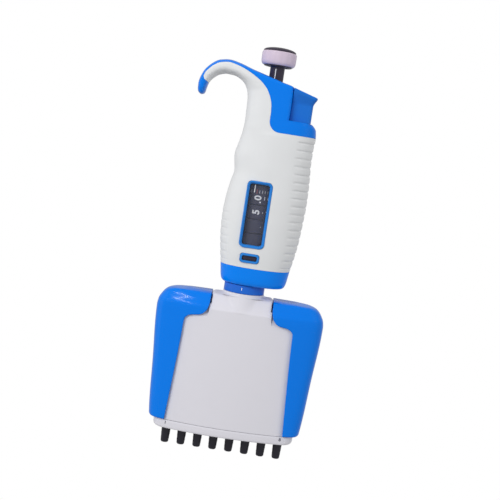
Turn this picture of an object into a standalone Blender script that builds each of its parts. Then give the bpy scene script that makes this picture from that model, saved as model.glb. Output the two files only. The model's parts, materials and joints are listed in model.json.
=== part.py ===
"""Manual eight-channel pipette: handle with finger hook, sprung plunger, volume drums,
tip ejector, and a swivelling manifold with eight tip cones.

Frame: +Z runs up the plunger's axis, and the origin is the middle of the row of tip cones, on the
plane of their ends. The row lies along X. The display faces -Y, and the hook points to -X.
All sizes below are in millimetres; MM turns them into Blender's metres.
"""

import math

import bmesh
import bpy
from mathutils import Matrix, Vector

MM = 0.001
GAP = 0.3             # clearance between neighbouring solids
WALL = 2.0            # wall of the moulded shells

# --- driving dimensions -------------------------------------------------------------------------
PITCH = 9.0           # tip cones stand at the pitch of a microplate's wells
CHANNELS = 8
PLUNGER_TRAVEL = 3.6
EJECTOR_TRAVEL = 4.5
GRIP_X = 60.0         # half width of cutters that reach past the object
FAR_Y = 40.0          # their half depth

# Manifold. Pairs are the lower and upper level of a piece.
CONE_TOP_R, CONE_END_R, CONE_BORE_R = 2.5, 1.95, 0.7
SPIGOT_R = 1.9        # the cone's root, held in the cylinder block
PISTON_R = 1.0
BAR_Z = (10.3, 14.9)  # ejector bar
BAR_HALF_X = 38.3
HOUSING_Z = 15.2      # underside of the white manifold housing
PANEL_DEPTH, PANEL_CROWN = 13.5, 4.0 / 34.0 ** 2   # half depth at the middle, and how it falls with x
SLOPE_Z = 80.3        # where the manifold's faces start to lean back
SHOULDER_Z = 87.6     # top of the white shoulders
WING_TOP_Z = 88.3
WING_WALL = 1.5
HOUSING_WALL = 1.8
BLOCK_Z = (15.6, 36.0)        # cylinder block
SEAL_Z = (36.3, 38.3)
PISTON_BAR_Z = (62.3, 68.0)
LINK_Z = 84.0                 # where the plunger rod meets the piston bar's stem
GUIDE_X, GUIDE_R = 2 * PITCH, 1.5
YOKE_Z = (76.0, 78.8)         # bar that joins the wings through the housing
YOKE_TUBE_R = 8.8             # tube round the piston stem, and the sleeve that pushes it
NECK_R, NECK_Z = 11.2, (90.6, 95.2)

# Handle
COLLAR_Z = (95.5, 105.2)
SLEEVE_ARM_Z = (101.1, 103.1)
STOP_CUP_Z = (104.6, 114.2)
WASHER_Z = (112.4, 113.8)
ROD_R = 2.0
SPRING_WIRE_R = 0.45
LOW_SHELF_Z, HIGH_SHELF_Z = (114.7, 116.7), (152.6, 154.4)
FLANGE_Z = (150.0, 151.6)
SPINDLE_Z = (152.8, 186.7)
NUT_Z = (160.0, 167.0)
SCREW_LEVELS = {"handle_screw_lower": 120.0, "handle_screw_upper": 170.0}
SCREW_HEAD_R = 2.4

STEM_R = 3.95
STEM_HOLE_R = STEM_R + 2.4
BUTTON_R, BUTTON_Z, BUTTON_TOP = 9.4, (214.6, 222.6), 225.0
EJECTOR_X = 17.5      # axis of the ejector rod
EJECTOR_NECK = (10.8, 22.0)
EJECTOR_NECK_Y = 10.5
EJECTOR_NECK_Z = 184.2
BOSS_R = 3.6
DRUM_R, DRUM_BORE_R = 11.8, 8.2
DRUMS = {"drum_tens": (124.3, 131.8), "drum_units": (132.1, 139.6), "drum_tenths": (139.9, 150.2)}
WINDOW = (-6.6, 7.1, 116.5, 152.5)        # x and z limits of the window frame
WINDOW_RIM = 1.5
SLOT = (-5.0, 5.6, 108.3, 113.5)
SLOT_RIM = 1.3

# Stations of the handle from the collar to the hook's tip: a point on the finger side and one on
# the palm side or the back of the hook, as (x, z), then half depth and squareness of the section.
GRIP = [
    ((-14.6, 105.5), (23.3, 105.5), 15.4, 2.3),
    ((-16.0, 113.5), (24.8, 113.5), 16.2, 2.3),
    ((-17.4, 123.0), (26.0, 123.0), 16.6, 2.3),
    ((-18.1, 132.0), (26.6, 133.0), 16.9, 2.3),
    ((-17.6, 141.0), (27.0, 143.0), 16.9, 2.3),
    ((-16.2, 150.5), (26.9, 151.0), 16.6, 2.3),
    ((-15.1, 156.0), (26.6, 157.0), 16.4, 2.3),
    ((-16.2, 165.0), (26.0, 166.0), 16.0, 2.4),
    ((-14.6, 173.0), (26.0, 173.5), 15.7, 2.5),
    ((-13.7, 178.4), (26.35, 178.2), 15.4, 2.7),
]
SHOULDER = [
    ((-13.3, 183.5), (25.7, 183.5), 14.8, 3.2),
    ((-13.3, 185.6), (24.0, 185.8), 14.4, 3.6),
    ((-13.3, 186.4), (22.6, 186.6), 14.2, 4.0),
    ((-13.35, 186.9), (10.4, 186.9), 14.0, 5.0),
    ((-13.5, 192.0), (10.4, 193.5), 13.6, 5.0),
    ((-13.7, 195.5), (10.4, 199.5), 13.4, 5.0),
]
HOOK = [
    ((-14.2, 198.7), (10.4, 204.2), 13.3, 5.0),
    ((-15.2, 201.3), (3.8, 206.5), 13.0, 4.5),
    ((-16.8, 203.7), (-4.1, 208.8), 12.6, 4.0),
    ((-19.2, 205.6), (-13.0, 211.3), 12.0, 3.4),
    ((-23.0, 207.0), (-20.0, 213.6), 11.2, 3.0),
    ((-26.7, 207.2), (-25.8, 214.7), 10.4, 2.7),
    ((-30.5, 206.2), (-31.0, 214.0), 9.6, 2.6),
    ((-33.7, 203.8), (-36.0, 210.8), 9.0, 2.6),
    ((-35.7, 201.0), (-39.6, 206.0), 8.4, 2.6),
    ((-37.0, 197.8), (-41.0, 200.5), 7.6, 2.5),
    ((-38.0, 195.2), (-40.2, 196.0), 5.5, 2.3),
    ((-38.6, 194.5), (-39.3, 194.6), 3.5, 2.2),
]

# Edge between the white handle and the blue top cover, from the palm side to the hook's tip.
COVER_CORNER, COVER_CORNER_R = (0.0, 179.4), 6.0
COVER_EDGE = [
    (0.0, 189.5), (-0.4, 194.0), (-1.5, 198.3), (-3.4, 202.6), (-6.8, 205.9), (-11.7, 208.9),
    (-16.9, 211.5), (-21.7, 213.0), (-25.8, 213.8), (-30.8, 213.0), (-35.0, 210.4), (-38.2, 206.8),
    (-39.2, 203.7), (-38.2, 202.0), (-34.6, 200.2), (-33.0, 190.0), (-55.0, 190.0), (-55.0, 235.0),
    (60.0, 235.0),
]

# Inner edge of the right-hand wing on the manifold's face, from the top down.
WING_EDGE = [
    (17.0, 95.0), (17.1, 87.0), (18.0, 80.3), (19.6, 77.7), (22.0, 76.3), (26.1, 75.6), (28.6, 74.4),
    (29.8, 72.5), (30.2, 62.0), (31.9, 31.0), (32.9, 15.5), (33.3, 8.0), (60.0, 8.0), (60.0, 95.0),
]

FINISHES = {          # colour, roughness, metallic
    "white_plastic": ((0.80, 0.81, 0.84), 0.42, 0.0),
    "panel_white": ((0.72, 0.71, 0.77), 0.38, 0.0),
    "blue_plastic": ((0.006, 0.20, 0.83), 0.25, 0.0),
    "deep_blue": ((0.02, 0.12, 0.55), 0.35, 0.0),
    "dark_plastic": ((0.035, 0.025, 0.045), 0.35, 0.0),
    "cone_black": ((0.018, 0.017, 0.024), 0.45, 0.0),
    "pink_ring": ((0.62, 0.50, 0.62), 0.30, 0.0),
    "drum_dark": ((0.03, 0.028, 0.05), 0.4, 0.0),
    "lens_clear": ((0.9, 0.9, 0.95), 0.05, 0.0),
    "steel": ((0.62, 0.62, 0.64), 0.28, 1.0),
    "brass": ((0.75, 0.55, 0.25), 0.3, 1.0),
    "grey_plastic": ((0.35, 0.36, 0.38), 0.5, 0.0),
    "seal_rubber": ((0.05, 0.05, 0.05), 0.7, 0.0),
}

# Bodies that move against each other, with a point on each one's joint axis.
BODY_AXES = {
    "handle": (0, 0, 0), "plunger": (0, 0, 0), "knob": (0, 0, 0), "drum_tens": (0, 0, 0),
    "drum_units": (0, 0, 0), "drum_tenths": (0, 0, 0), "stop_nut": (0, 0, 0),
    "ejector": (EJECTOR_X, 0, 0), "manifold": (0, 0, 0), "piston_set": (0, 0, 0),
    "ejector_frame": (0, 0, 0),
}


# --- scene set-up -------------------------------------------------------------------------------
for leftover in list(bpy.data.objects):
    bpy.data.objects.remove(leftover)

PARTS = bpy.data.collections.new("eight_channel_pipette")
CUTTERS = bpy.data.collections.new("cutters")
for collection in (PARTS, CUTTERS):
    bpy.context.scene.collection.children.link(collection)

BODIES = {}
for body_name, axis_point in BODY_AXES.items():
    empty = bpy.data.objects.new("body_" + body_name, None)
    empty.location = Vector(axis_point) * MM
    PARTS.objects.link(empty)
    BODIES[body_name] = empty

MATERIALS = {}
for finish_name, (colour, roughness, metallic) in FINISHES.items():
    finish_material = bpy.data.materials.new(finish_name)
    finish_material.use_nodes = True
    shader = finish_material.node_tree.nodes["Principled BSDF"]
    shader.inputs["Base Color"].default_value = (*colour, 1.0)
    shader.inputs["Roughness"].default_value = roughness
    shader.inputs["Metallic"].default_value = metallic
    MATERIALS[finish_name] = finish_material


# --- helpers ------------------------------------------------------------------------------------
def to_mesh(name, bm):
    """A named mesh from a bmesh given in millimetres, with its normals facing out."""
    bmesh.ops.recalc_face_normals(bm, faces=bm.faces)
    bmesh.ops.scale(bm, vec=(MM, MM, MM), verts=bm.verts)
    mesh = bpy.data.meshes.new(name)
    bm.to_mesh(mesh)
    bm.free()
    return mesh


def part(name, mesh, body, finish, at=(0, 0, 0)):
    """Places a mesh as one named sub-part of a body."""
    obj = bpy.data.objects.new(name, mesh)
    obj.location = Vector(at) * MM
    obj.parent = BODIES[body]
    obj.matrix_parent_inverse = Matrix.Translation(-BODIES[body].location)
    mesh.materials.append(MATERIALS[finish])
    mesh.shade_smooth()
    if mesh.polygons:
        mesh.set_sharp_from_angle(angle=math.radians(35))
    PARTS.objects.link(obj)
    return obj


def cut(obj, mesh, operation="DIFFERENCE", at=(0, 0, 0)):
    """Cuts a mesh from a part, joins it on, or keeps only what lies inside it."""
    tool = bpy.data.objects.new(obj.name + "_" + operation.lower(), mesh)
    tool.location = Vector(at) * MM
    tool.hide_render = True
    tool.display_type = "WIRE"
    CUTTERS.objects.link(tool)
    modifier = obj.modifiers.new(operation.title(), "BOOLEAN")
    modifier.operation = operation
    modifier.object = tool
    return obj


def block(low, high):
    """A box between two corners."""
    bm = bmesh.new()
    bmesh.ops.create_cube(bm, size=1.0)
    size = [h - l for l, h in zip(low, high)]
    centre = [(h + l) / 2 for l, h in zip(low, high)]
    bmesh.ops.scale(bm, vec=size, verts=bm.verts)
    bmesh.ops.translate(bm, vec=centre, verts=bm.verts)
    return to_mesh("block", bm)


def rod(radius, low, high, at=(0, 0), sides=24):
    """A round bar parallel to Z."""
    bm = bmesh.new()
    bmesh.ops.create_cone(
        bm, cap_ends=True, segments=sides, radius1=radius, radius2=radius, depth=high - low
    )
    bmesh.ops.translate(bm, vec=(at[0], at[1], (low + high) / 2), verts=bm.verts)
    return to_mesh("rod", bm)


def prism(outline, low, high):
    """An outline in X and Z, given depth from y = low to y = high."""
    bm = bmesh.new()
    face = bm.faces.new([bm.verts.new((x, low, z)) for x, z in outline])
    grown = bmesh.ops.extrude_face_region(bm, geom=[face])["geom"]
    far_side = [item for item in grown if isinstance(item, bmesh.types.BMVert)]
    bmesh.ops.translate(bm, vec=(0, high - low, 0), verts=far_side)
    return to_mesh("prism", bm)


def loft(rings):
    """A closed skin over rings of points, with flat ends."""
    bm = bmesh.new()
    rows = [[bm.verts.new(point) for point in ring] for ring in rings]
    for lower, upper in zip(rows, rows[1:]):
        for i in range(len(lower)):
            j = (i + 1) % len(lower)
            bm.faces.new((lower[i], lower[j], upper[j], upper[i]))
    bm.faces.new(rows[0])
    bm.faces.new(rows[-1])
    return to_mesh("loft", bm)


def turned(name, profile, body, finish, at=(0, 0, 0), steps=24, ring=False):
    """A turned piece. The profile is (radius, z) from the top down the outer side; a ring's profile
    goes on up its bore to where it began."""
    count = len(profile)
    edges = [(i, i + 1) for i in range(count - 1)]
    if ring:
        edges.append((count - 1, 0))
    mesh = bpy.data.meshes.new(name)
    mesh.from_pydata([(r * MM, 0, z * MM) for r, z in profile], edges, [])
    obj = part(name, mesh, body, finish, at)
    screw = obj.modifiers.new("Turn", "SCREW")
    screw.steps = screw.render_steps = steps
    screw.use_merge_vertices = True
    screw.merge_threshold = 0.00001
    screw.use_smooth_shade = True
    return obj


def tube(name, inner, outer, low, high, body, finish, at=(0, 0, 0), steps=24):
    """A plain ring or sleeve."""
    profile = [(outer, high), (outer, low), (inner, low), (inner, high)]
    return turned(name, profile, body, finish, at, steps, ring=True)


def spring(name, radius, wire, low, high, turns, at, body="handle"):
    """A coil spring as a poly spline with a round section, its end coils drawn closed."""
    per_turn = 10
    count = int(turns * per_turn) + 1
    curve = bpy.data.curves.new(name, "CURVE")
    curve.dimensions = "3D"
    curve.bevel_depth = wire * MM
    curve.bevel_resolution = 2
    curve.use_fill_caps = True
    spline = curve.splines.new("POLY")
    spline.points.add(count - 1)
    for i, point in enumerate(spline.points):
        share = i / (count - 1)
        angle = 2 * math.pi * turns * share
        height = low + wire + (high - low - 2 * wire) * (share - math.sin(2 * math.pi * share) / 9)
        place = (radius * math.cos(angle), radius * math.sin(angle), height)
        point.co = (*(Vector(place) * MM), 1.0)
    curve.materials.append(MATERIALS["steel"])
    obj = bpy.data.objects.new(name, curve)
    obj.location = Vector(at) * MM
    obj.parent = BODIES[body]
    obj.matrix_parent_inverse = Matrix.Translation(-BODIES[body].location)
    PARTS.objects.link(obj)
    return obj


def rounded(x0, x1, z0, z1, radius, steps=4):
    """Outline of a rectangle with round corners."""
    corners = [(x1 - radius, z1 - radius, 0), (x0 + radius, z1 - radius, 90),
               (x0 + radius, z0 + radius, 180), (x1 - radius, z0 + radius, 270)]
    outline = []
    for cx, cz, start in corners:
        for i in range(steps + 1):
            angle = math.radians(start + 90 * i / steps)
            outline.append((cx + radius * math.cos(angle), cz + radius * math.sin(angle)))
    return outline


def shrunk(limits, by):
    """Rectangle limits (x0, x1, z0, z1) drawn in on every side."""
    x0, x1, z0, z1 = limits
    return (x0 + by, x1 - by, z0 + by, z1 - by)


def inset(outline, distance):
    """An outline moved to its inner side by a distance, corner by corner."""
    area = sum(a[0] * b[1] - b[0] * a[1] for a, b in zip(outline, outline[1:] + outline[:1]))
    side = 1 if area > 0 else -1
    moved = []
    for i, here in enumerate(outline):
        before = Vector(here) - Vector(outline[i - 1])
        after = Vector(outline[(i + 1) % len(outline)]) - Vector(here)
        n1 = Vector((-before.y, before.x)).normalized() * side
        n2 = Vector((-after.y, after.x)).normalized() * side
        bisector = (n1 + n2).normalized()
        moved.append(tuple(Vector(here) + bisector * distance / max(bisector.dot(n1), 0.4)))
    return moved


def oval(finger, back, depth, squareness, points=24):
    """One section of the handle: a superellipse that stands on the chord between two points."""
    middle = [(f + b) / 2 for f, b in zip(finger, back)]
    half = [(b - f) / 2 for f, b in zip(finger, back)]
    ring = []
    for i in range(points):
        angle = 2 * math.pi * i / points
        c, s = math.cos(angle), math.sin(angle)
        u = math.copysign(abs(c) ** (2 / squareness), c)
        v = math.copysign(abs(s) ** (2 / squareness), s)
        ring.append((middle[0] + half[0] * u, depth * v, middle[1] + half[1] * u))
    return ring


def thinner(station, wall, drop=0.0):
    """A handle station drawn in by the wall's thickness, and lowered."""
    finger, back, depth, squareness = station
    along = (Vector(back) - Vector(finger)).normalized() * wall
    lower = Vector((0, -drop))
    return (Vector(finger) + along + lower, Vector(back) - along + lower, depth - wall, squareness)


def panel_section(half_x, z, lean=1.0, grow=0.0, squareness=24.0, points=36):
    """One level section of the manifold: crowned front and back, rounded at both ends. lean draws
    the faces towards the middle, and grow moves the whole section outwards."""
    ring = []
    reach = half_x + grow
    for i in range(points):
        angle = 2 * math.pi * i / points
        x = reach * math.cos(angle)
        crown = (PANEL_DEPTH - PANEL_CROWN * x * x) * lean + grow
        edge = max(1 - abs(math.cos(angle)) ** squareness, 0.0) ** 0.45
        ring.append((x, math.copysign(crown * edge, math.sin(angle)), z))
    return ring


# --- handle -------------------------------------------------------------------------------------
def handle_body():
    """The whole outer form of the grip, the shoulder and the hook."""
    return loft([oval(*station) for station in GRIP + SHOULDER + HOOK])


def handle_cavity():
    """The hollow inside the handle, open at the bottom."""
    (x_finger, z), (x_palm, _), depth, square = thinner(GRIP[0], WALL)
    open_end = z - 5
    below = ((x_finger, open_end), (x_palm, open_end), depth, square)
    grip = [thinner(station, WALL) for station in GRIP]
    shoulder = [thinner(station, WALL, drop=WALL) for station in SHOULDER]
    return loft([oval(*station) for station in [below] + grip + shoulder])


def cover_outline():
    """The region in X and Z that the blue top cover takes."""
    cx, cz = COVER_CORNER[0] + COVER_CORNER_R, COVER_CORNER[1] + COVER_CORNER_R
    corner = []
    for i in range(6):
        angle = math.radians(270 - 90 * i / 5)
        corner.append((cx + COVER_CORNER_R * math.cos(angle), cz + COVER_CORNER_R * math.sin(angle)))
    return [(GRIP_X, COVER_CORNER[1])] + corner + COVER_EDGE


def stem_hole():
    return rod(STEM_HOLE_R, 190, 230)


def white_half(name, far_half):
    """One white half of the handle, without the top cover's region and the other half."""
    obj = part(name, handle_body(), "handle", "white_plastic")
    cut(obj, far_half)
    cut(obj, prism(cover_outline(), -FAR_Y, FAR_Y))
    cut(obj, handle_cavity())
    cut(obj, stem_hole())
    return obj


def make_handle():
    low, high = 90, 230
    front = white_half("handle_front_shell", block((-GRIP_X, -GAP / 2, low), (GRIP_X, FAR_Y, high)))
    cut(front, prism(rounded(*shrunk(WINDOW, -GAP), 2.8), -FAR_Y, -2))
    cut(front, prism(rounded(*shrunk(SLOT, -GAP), 1.8), -FAR_Y, -2))
    rear = white_half("handle_rear_shell", block((-GRIP_X, -FAR_Y, low), (GRIP_X, GAP / 2, high)))
    shank_r, shank_end, under_head, head_top = 1.3, -13.2, -14.9, -16.0
    screw_profile = [(0, shank_end), (shank_r, shank_end), (shank_r, under_head),
                     (SCREW_HEAD_R, under_head), (SCREW_HEAD_R, head_top), (0, head_top)]
    onto_back = Matrix.Rotation(math.radians(90), 4, "X")
    for name, height in SCREW_LEVELS.items():
        screw = turned(name, screw_profile, "handle", "steel", at=(0, 0, height), steps=16)
        screw.rotation_euler = onto_back.to_euler()
        hole = rod(SCREW_HEAD_R + GAP, -30, -6)
        hole.transform(onto_back)
        cut(rear, hole, at=(0, 0, height))


def make_top_cover():
    cover = part("top_cover", handle_body(), "handle", "blue_plastic")
    cut(cover, prism(inset(cover_outline(), GAP), -FAR_Y - 1, FAR_Y + 1), "INTERSECT")
    cut(cover, handle_cavity())
    cut(cover, stem_hole())
    well_y = EJECTOR_NECK_Y + 0.4
    well = block((EJECTOR_NECK[0] - 0.4, -well_y, 178), (EJECTOR_NECK[1] + GAP, well_y, 192))
    cut(cover, well)
    tube("stem_bush", STEM_R + 0.25, STEM_HOLE_R - GAP, 196.8, 204.0, "handle", "deep_blue")


def make_collar():
    low, high = COLLAR_Z
    levels = [
        ((-11.4, low), (20.2, low), 12.0, 2.3),
        ((-12.9, low + 0.8), (21.7, low + 0.8), 13.5, 2.3),
        ((-13.5, low + 2.3), (22.2, low + 2.3), 14.1, 2.3),
        ((-14.6, high), (23.3, high), 15.4, 2.3),
    ]
    floor, brim = low + 1.0, high + 0.8
    hollow = [((-11.2, floor), (20.3, floor), 11.8, 2.3), ((-12.6, brim), (21.3, brim), 13.4, 2.3)]
    collar = part("bottom_collar", loft([oval(*s) for s in levels]), "handle", "blue_plastic")
    cut(collar, loft([oval(*s) for s in hollow]))
    cut(collar, rod(NECK_R - 0.6, low - 5, low + 5, sides=32))


def make_window():
    front_y, back_y = -16.9, -13.0
    frame = part("window_frame", prism(rounded(*WINDOW, 2.5), front_y, back_y), "handle", "deep_blue")
    cut(frame, prism(rounded(*shrunk(WINDOW, WINDOW_RIM), 1.4), -20, -10))
    lens = rounded(*shrunk(WINDOW, WINDOW_RIM + GAP), 1.1)
    part("window_lens", prism(lens, front_y + 1.5, front_y + 2.7), "handle", "lens_clear")
    front_y, back_y = -16.4, -13.2
    slot = part("slot_frame", prism(rounded(*SLOT, 1.5), front_y, back_y), "handle", "deep_blue")
    cut(slot, prism(rounded(*shrunk(SLOT, SLOT_RIM), 0.8), -20, -10))
    plug = rounded(*shrunk(SLOT, SLOT_RIM + GAP), 0.6, steps=2)
    part("calibration_plug", prism(plug, front_y + 1, back_y - 0.2), "handle", "dark_plastic")


# --- plunger, knob and counter ------------------------------------------------------------------
def make_plunger():
    """Rod with the collar that stops on the blow-out washer, and the flange that the spring lifts."""
    top, bottom, collar_r = 152.3, LINK_Z + GAP, 3.3
    collar_low = WASHER_Z[1] + GAP + PLUNGER_TRAVEL
    collar_high = collar_low + 2.5
    rod_profile = [(0, top), (ROD_R - 0.4, top), (ROD_R, top - 0.4), (ROD_R, collar_high),
                   (collar_r, collar_high), (collar_r, collar_low), (ROD_R, collar_low),
                   (ROD_R, bottom), (0, bottom)]
    turned("plunger_rod", rod_profile, "plunger", "steel", steps=16)
    tube("plunger_flange", ROD_R + 0.25, 5.2, *FLANGE_Z, "plunger", "brass", steps=20)


def make_button():
    low, high = BUTTON_Z
    seat_r, seat_top, stem_end = 7.6, low + 2.8, 187.0
    turned("stem", [(0, seat_top), (seat_r - 2, seat_top), (seat_r, low + 0.8), (seat_r, low),
                    (STEM_R, low), (STEM_R, stem_end), (0, stem_end)], "knob", "dark_plastic")
    bore = seat_r + GAP
    ring = [(8.3, high), (9.0, high - 0.2), (BUTTON_R, high - 1.0), (BUTTON_R, low + 2.4),
            (8.9, low + 1.1), (8.2, low + 0.6), (bore, low + 0.6), (bore, low + 3.0), (bore, high)]
    turned("button_ring", ring, "knob", "pink_ring", ring=True)
    plug_r, plug_end = seat_r - 0.1, seat_top + 0.4
    cap = [(0, BUTTON_TOP), (3.5, BUTTON_TOP - 0.2), (6.5, BUTTON_TOP - 0.9), (8.2, BUTTON_TOP - 1.7),
           (8.9, high + 0.35), (plug_r, high + GAP), (plug_r, plug_end), (0, plug_end)]
    turned("button_cap", cap, "knob", "dark_plastic")


def make_spindle():
    """Threaded spindle that the button turns, and the hexagonal nut that climbs on it."""
    bottom, top = SPINDLE_Z
    core_r, thread_r, threads, lead = 3.0, 3.6, 6, 4.5
    profile = [(0, top), (core_r, top)]
    for turn in range(threads):
        start = top - 3.7 - lead * turn
        profile += [(core_r, start), (thread_r, start - 1.2), (thread_r, start - 2.2), (core_r, start - 3.4)]
    profile += [(core_r, bottom), (0, bottom)]
    turned("adjusting_spindle", profile, "knob", "steel", steps=14)
    tube("stop_nut", thread_r + 0.8, 7.2, *NUT_Z, "stop_nut", "grey_plastic", steps=6)


def make_counter():
    for name, (low, high) in DRUMS.items():
        tube(name, DRUM_BORE_R, DRUM_R, low, high, name, "drum_dark")
    foot = LOW_SHELF_Z[1] + 0.5
    tube("drum_sleeve", 6.0, DRUM_BORE_R - GAP, foot, 152.0, "handle", "grey_plastic")
    tube("drum_retainer", DRUM_BORE_R, DRUM_R, foot, DRUMS["drum_tens"][0] - GAP, "handle", "drum_dark")


def make_chassis():
    """Spine behind the drums, with two shelves that hold the sleeve and guide the rods."""
    spine_front, spine_back, shelf_r = 12.1, 12.9, 10.0
    spine = part("chassis_frame", block((-1, spine_front, 106.5), (10, spine_back, 174)), "handle",
                 "grey_plastic")
    for low, high in (LOW_SHELF_Z, HIGH_SHELF_Z):
        cut(spine, rod(shelf_r, low, high), "UNION")
        cut(spine, block((0, 5, low), (9, spine_back - 0.3, high)), "UNION")
    low, high = HIGH_SHELF_Z
    cut(spine, block((5, -4, low), (EJECTOR_X + 4, 4, high)), "UNION")
    cut(spine, rod(5.7, 110, 160))
    cut(spine, rod(2.4, low - 2, high + 5, at=(EJECTOR_X, 0), sides=16))


def make_return_parts():
    """Cup under the low shelf with the blow-out spring and its washer, and the two return springs."""
    low, high = STOP_CUP_Z
    cup_r, cup_bore_r, rod_hole_r, floor = 8.9, 7.4, 2.6, low + 1.6
    cup = [(cup_r, high), (cup_r, low), (rod_hole_r, low), (rod_hole_r, floor), (cup_bore_r, floor),
           (cup_bore_r, high)]
    turned("stop_cup", cup, "handle", "grey_plastic", ring=True)
    tube("blowout_washer", rod_hole_r, cup_bore_r - GAP, *WASHER_Z, "handle", "steel")
    spring("blowout_spring", 5.6, 0.6, floor + GAP, WASHER_Z[0] - GAP, 3, (0, 0, 0))
    spring("plunger_return_spring", 4.3, SPRING_WIRE_R, WASHER_Z[1] + GAP, FLANGE_Z[0] - GAP, 7, (0, 0, 0))
    seat, boss_end = HIGH_SHELF_Z[1] + GAP, 176.4
    spring("ejector_return_spring", 3.2, SPRING_WIRE_R, seat, boss_end, 5, (EJECTOR_X, 0, 0))


# --- tip ejector in the handle ------------------------------------------------------------------
def button_level(palm_x, half_y, z, rise=0.0):
    """One section of the ejector button. rise lifts its edge next to the stem above its palm edge."""
    near_x = EJECTOR_NECK[0]
    ring = rounded(near_x, palm_x, -half_y, half_y, 2.0, steps=3)
    return [(x, y, z + rise * (palm_x - x) / (palm_x - near_x)) for x, y in ring]


def make_ejector():
    """Button whose top flares out over its neck, its rod, and the sleeve that the rod pushes."""
    palm_x, half_y, rise = EJECTOR_NECK[1], EJECTOR_NECK_Y, 3.8
    rings = [
        button_level(palm_x, half_y, EJECTOR_NECK_Z),
        button_level(palm_x, half_y, 196.4),
        button_level(palm_x + 0.5, half_y + 0.7, 197.8),
        button_level(palm_x + 1.6, half_y + 2.5, 199.4, rise - 0.4),
        button_level(palm_x + 1.7, half_y + 2.6, 200.1, rise),
        button_level(palm_x + 1.2, half_y + 2.1, 200.6, rise),
    ]
    button = part("ejector_button", loft(rings), "ejector", "blue_plastic")
    boss_end = 176.7
    cut(button, rod(BOSS_R, boss_end, 190, at=(EJECTOR_X, 0), sides=20), "UNION")
    rod_r, rod_top, rod_end = 1.8, boss_end - 0.4, SLEEVE_ARM_Z[1] + 0.2
    turned("ejector_rod", [(0, rod_top), (rod_r, rod_top), (rod_r, rod_end), (0, rod_end)], "ejector",
           "steel", at=(EJECTOR_X, 0, 0), steps=16)
    arm_low, arm_high = SLEEVE_ARM_Z
    sleeve_low = LINK_Z + 0.6
    sleeve = part("ejector_sleeve", rod(YOKE_TUBE_R, sleeve_low, arm_high - 0.1, sides=28), "ejector",
                  "steel")
    cut(sleeve, block((5, -3, arm_low), (EJECTOR_X + 2, 3, arm_high)), "UNION")
    cut(sleeve, rod(YOKE_TUBE_R - 1.6, sleeve_low - 5, arm_high + 5, sides=28))


# --- manifold -----------------------------------------------------------------------------------
def housing_half_x(z):
    """Half width of the white housing under the wings."""
    return 37.4 + 2.9 * (z - HOUSING_Z) / (SLOPE_Z - HOUSING_Z)


def housing_body(wall=0.0, lift=0.0, bottom=HOUSING_Z):
    """The white housing under the wings: straight faces, then shoulders that lean back. wall draws
    it in, or out where it is negative, and lift raises the shoulders."""
    lean_start = SLOPE_Z - EJECTOR_TRAVEL - GAP + lift
    top = 83.0 - wall + lift
    half = housing_half_x(lean_start)
    levels = [
        (housing_half_x(bottom), bottom, 1.0),
        (half, lean_start, 1.0),
        (half - 0.8, lean_start + 0.55 * (top - lean_start), 0.86),
        (half - 3.4, top - 0.9, 0.72),
        (half - 6.5, top, 0.62),
    ]
    return loft([panel_section(x, z, lean, grow=-wall) for x, z, lean in levels])


def neck_block():
    """The white block between the wings that carries the neck."""
    half_x = 16.6
    levels = [(SLOPE_Z - 6.3, 13.6, half_x), (SLOPE_Z, 13.6, half_x), (SHOULDER_Z - 1.2, 9.9, half_x),
              (SHOULDER_Z, 8.6, half_x - 0.7)]
    rings = []
    for z, depth, reach in levels:
        outline = rounded(-reach, reach, -depth, depth, 2.0, steps=3)
        rings.append([(x, y, z) for x, y in outline])
    return loft(rings)


def neck_cone():
    """The round root of the neck, which spreads down into the faces."""
    low, high = SLOPE_Z - 0.3, NECK_Z[0] - GAP
    bm = bmesh.new()
    bmesh.ops.create_cone(bm, cap_ends=True, segments=32, radius1=13.5, radius2=11.5, depth=high - low)
    bmesh.ops.translate(bm, vec=(0, 0, (low + high) / 2), verts=bm.verts)
    return to_mesh("cone", bm)


def housing_half(name, far_half):
    """One half of the housing, with the slot that the yoke moves in."""
    obj = part(name, housing_body(), "manifold", "panel_white")
    yoke_low, slot_y = YOKE_Z[0] - EJECTOR_TRAVEL - GAP, 4.4
    cut(obj, block((-GRIP_X, -slot_y, yoke_low), (GRIP_X, slot_y, YOKE_Z[1] + GAP)))
    cut(obj, neck_block(), "UNION")
    cut(obj, neck_cone(), "UNION")
    cut(obj, far_half)
    cut(obj, housing_body(wall=HOUSING_WALL, bottom=HOUSING_Z - 4))
    cut(obj, rod(NECK_R - 0.5, 78, 100))
    return obj


def make_housing():
    top = 110
    housing_half("manifold_front_shell", block((-GRIP_X, -GAP / 2, 0), (GRIP_X, FAR_Y, top)))
    housing_half("manifold_rear_shell", block((-GRIP_X, -FAR_Y, 0), (GRIP_X, GAP / 2, top)))
    low, high = NECK_Z
    bore_r, root_r, root_end = YOKE_TUBE_R + 0.5, 10.3, 86.0
    ring = [(NECK_R, high), (NECK_R, low), (root_r, low), (root_r, root_end), (bore_r, root_end),
            (bore_r, high + 0.9), (root_r - 0.1, high + 0.9), (root_r - 0.1, high)]
    turned("neck_ring", ring, "manifold", "deep_blue", ring=True)


def cone_places():
    """The x of each tip cone, from channel 1 on the hook's side."""
    return [PITCH * (i - (CHANNELS - 1) / 2) for i in range(CHANNELS)]


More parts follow.
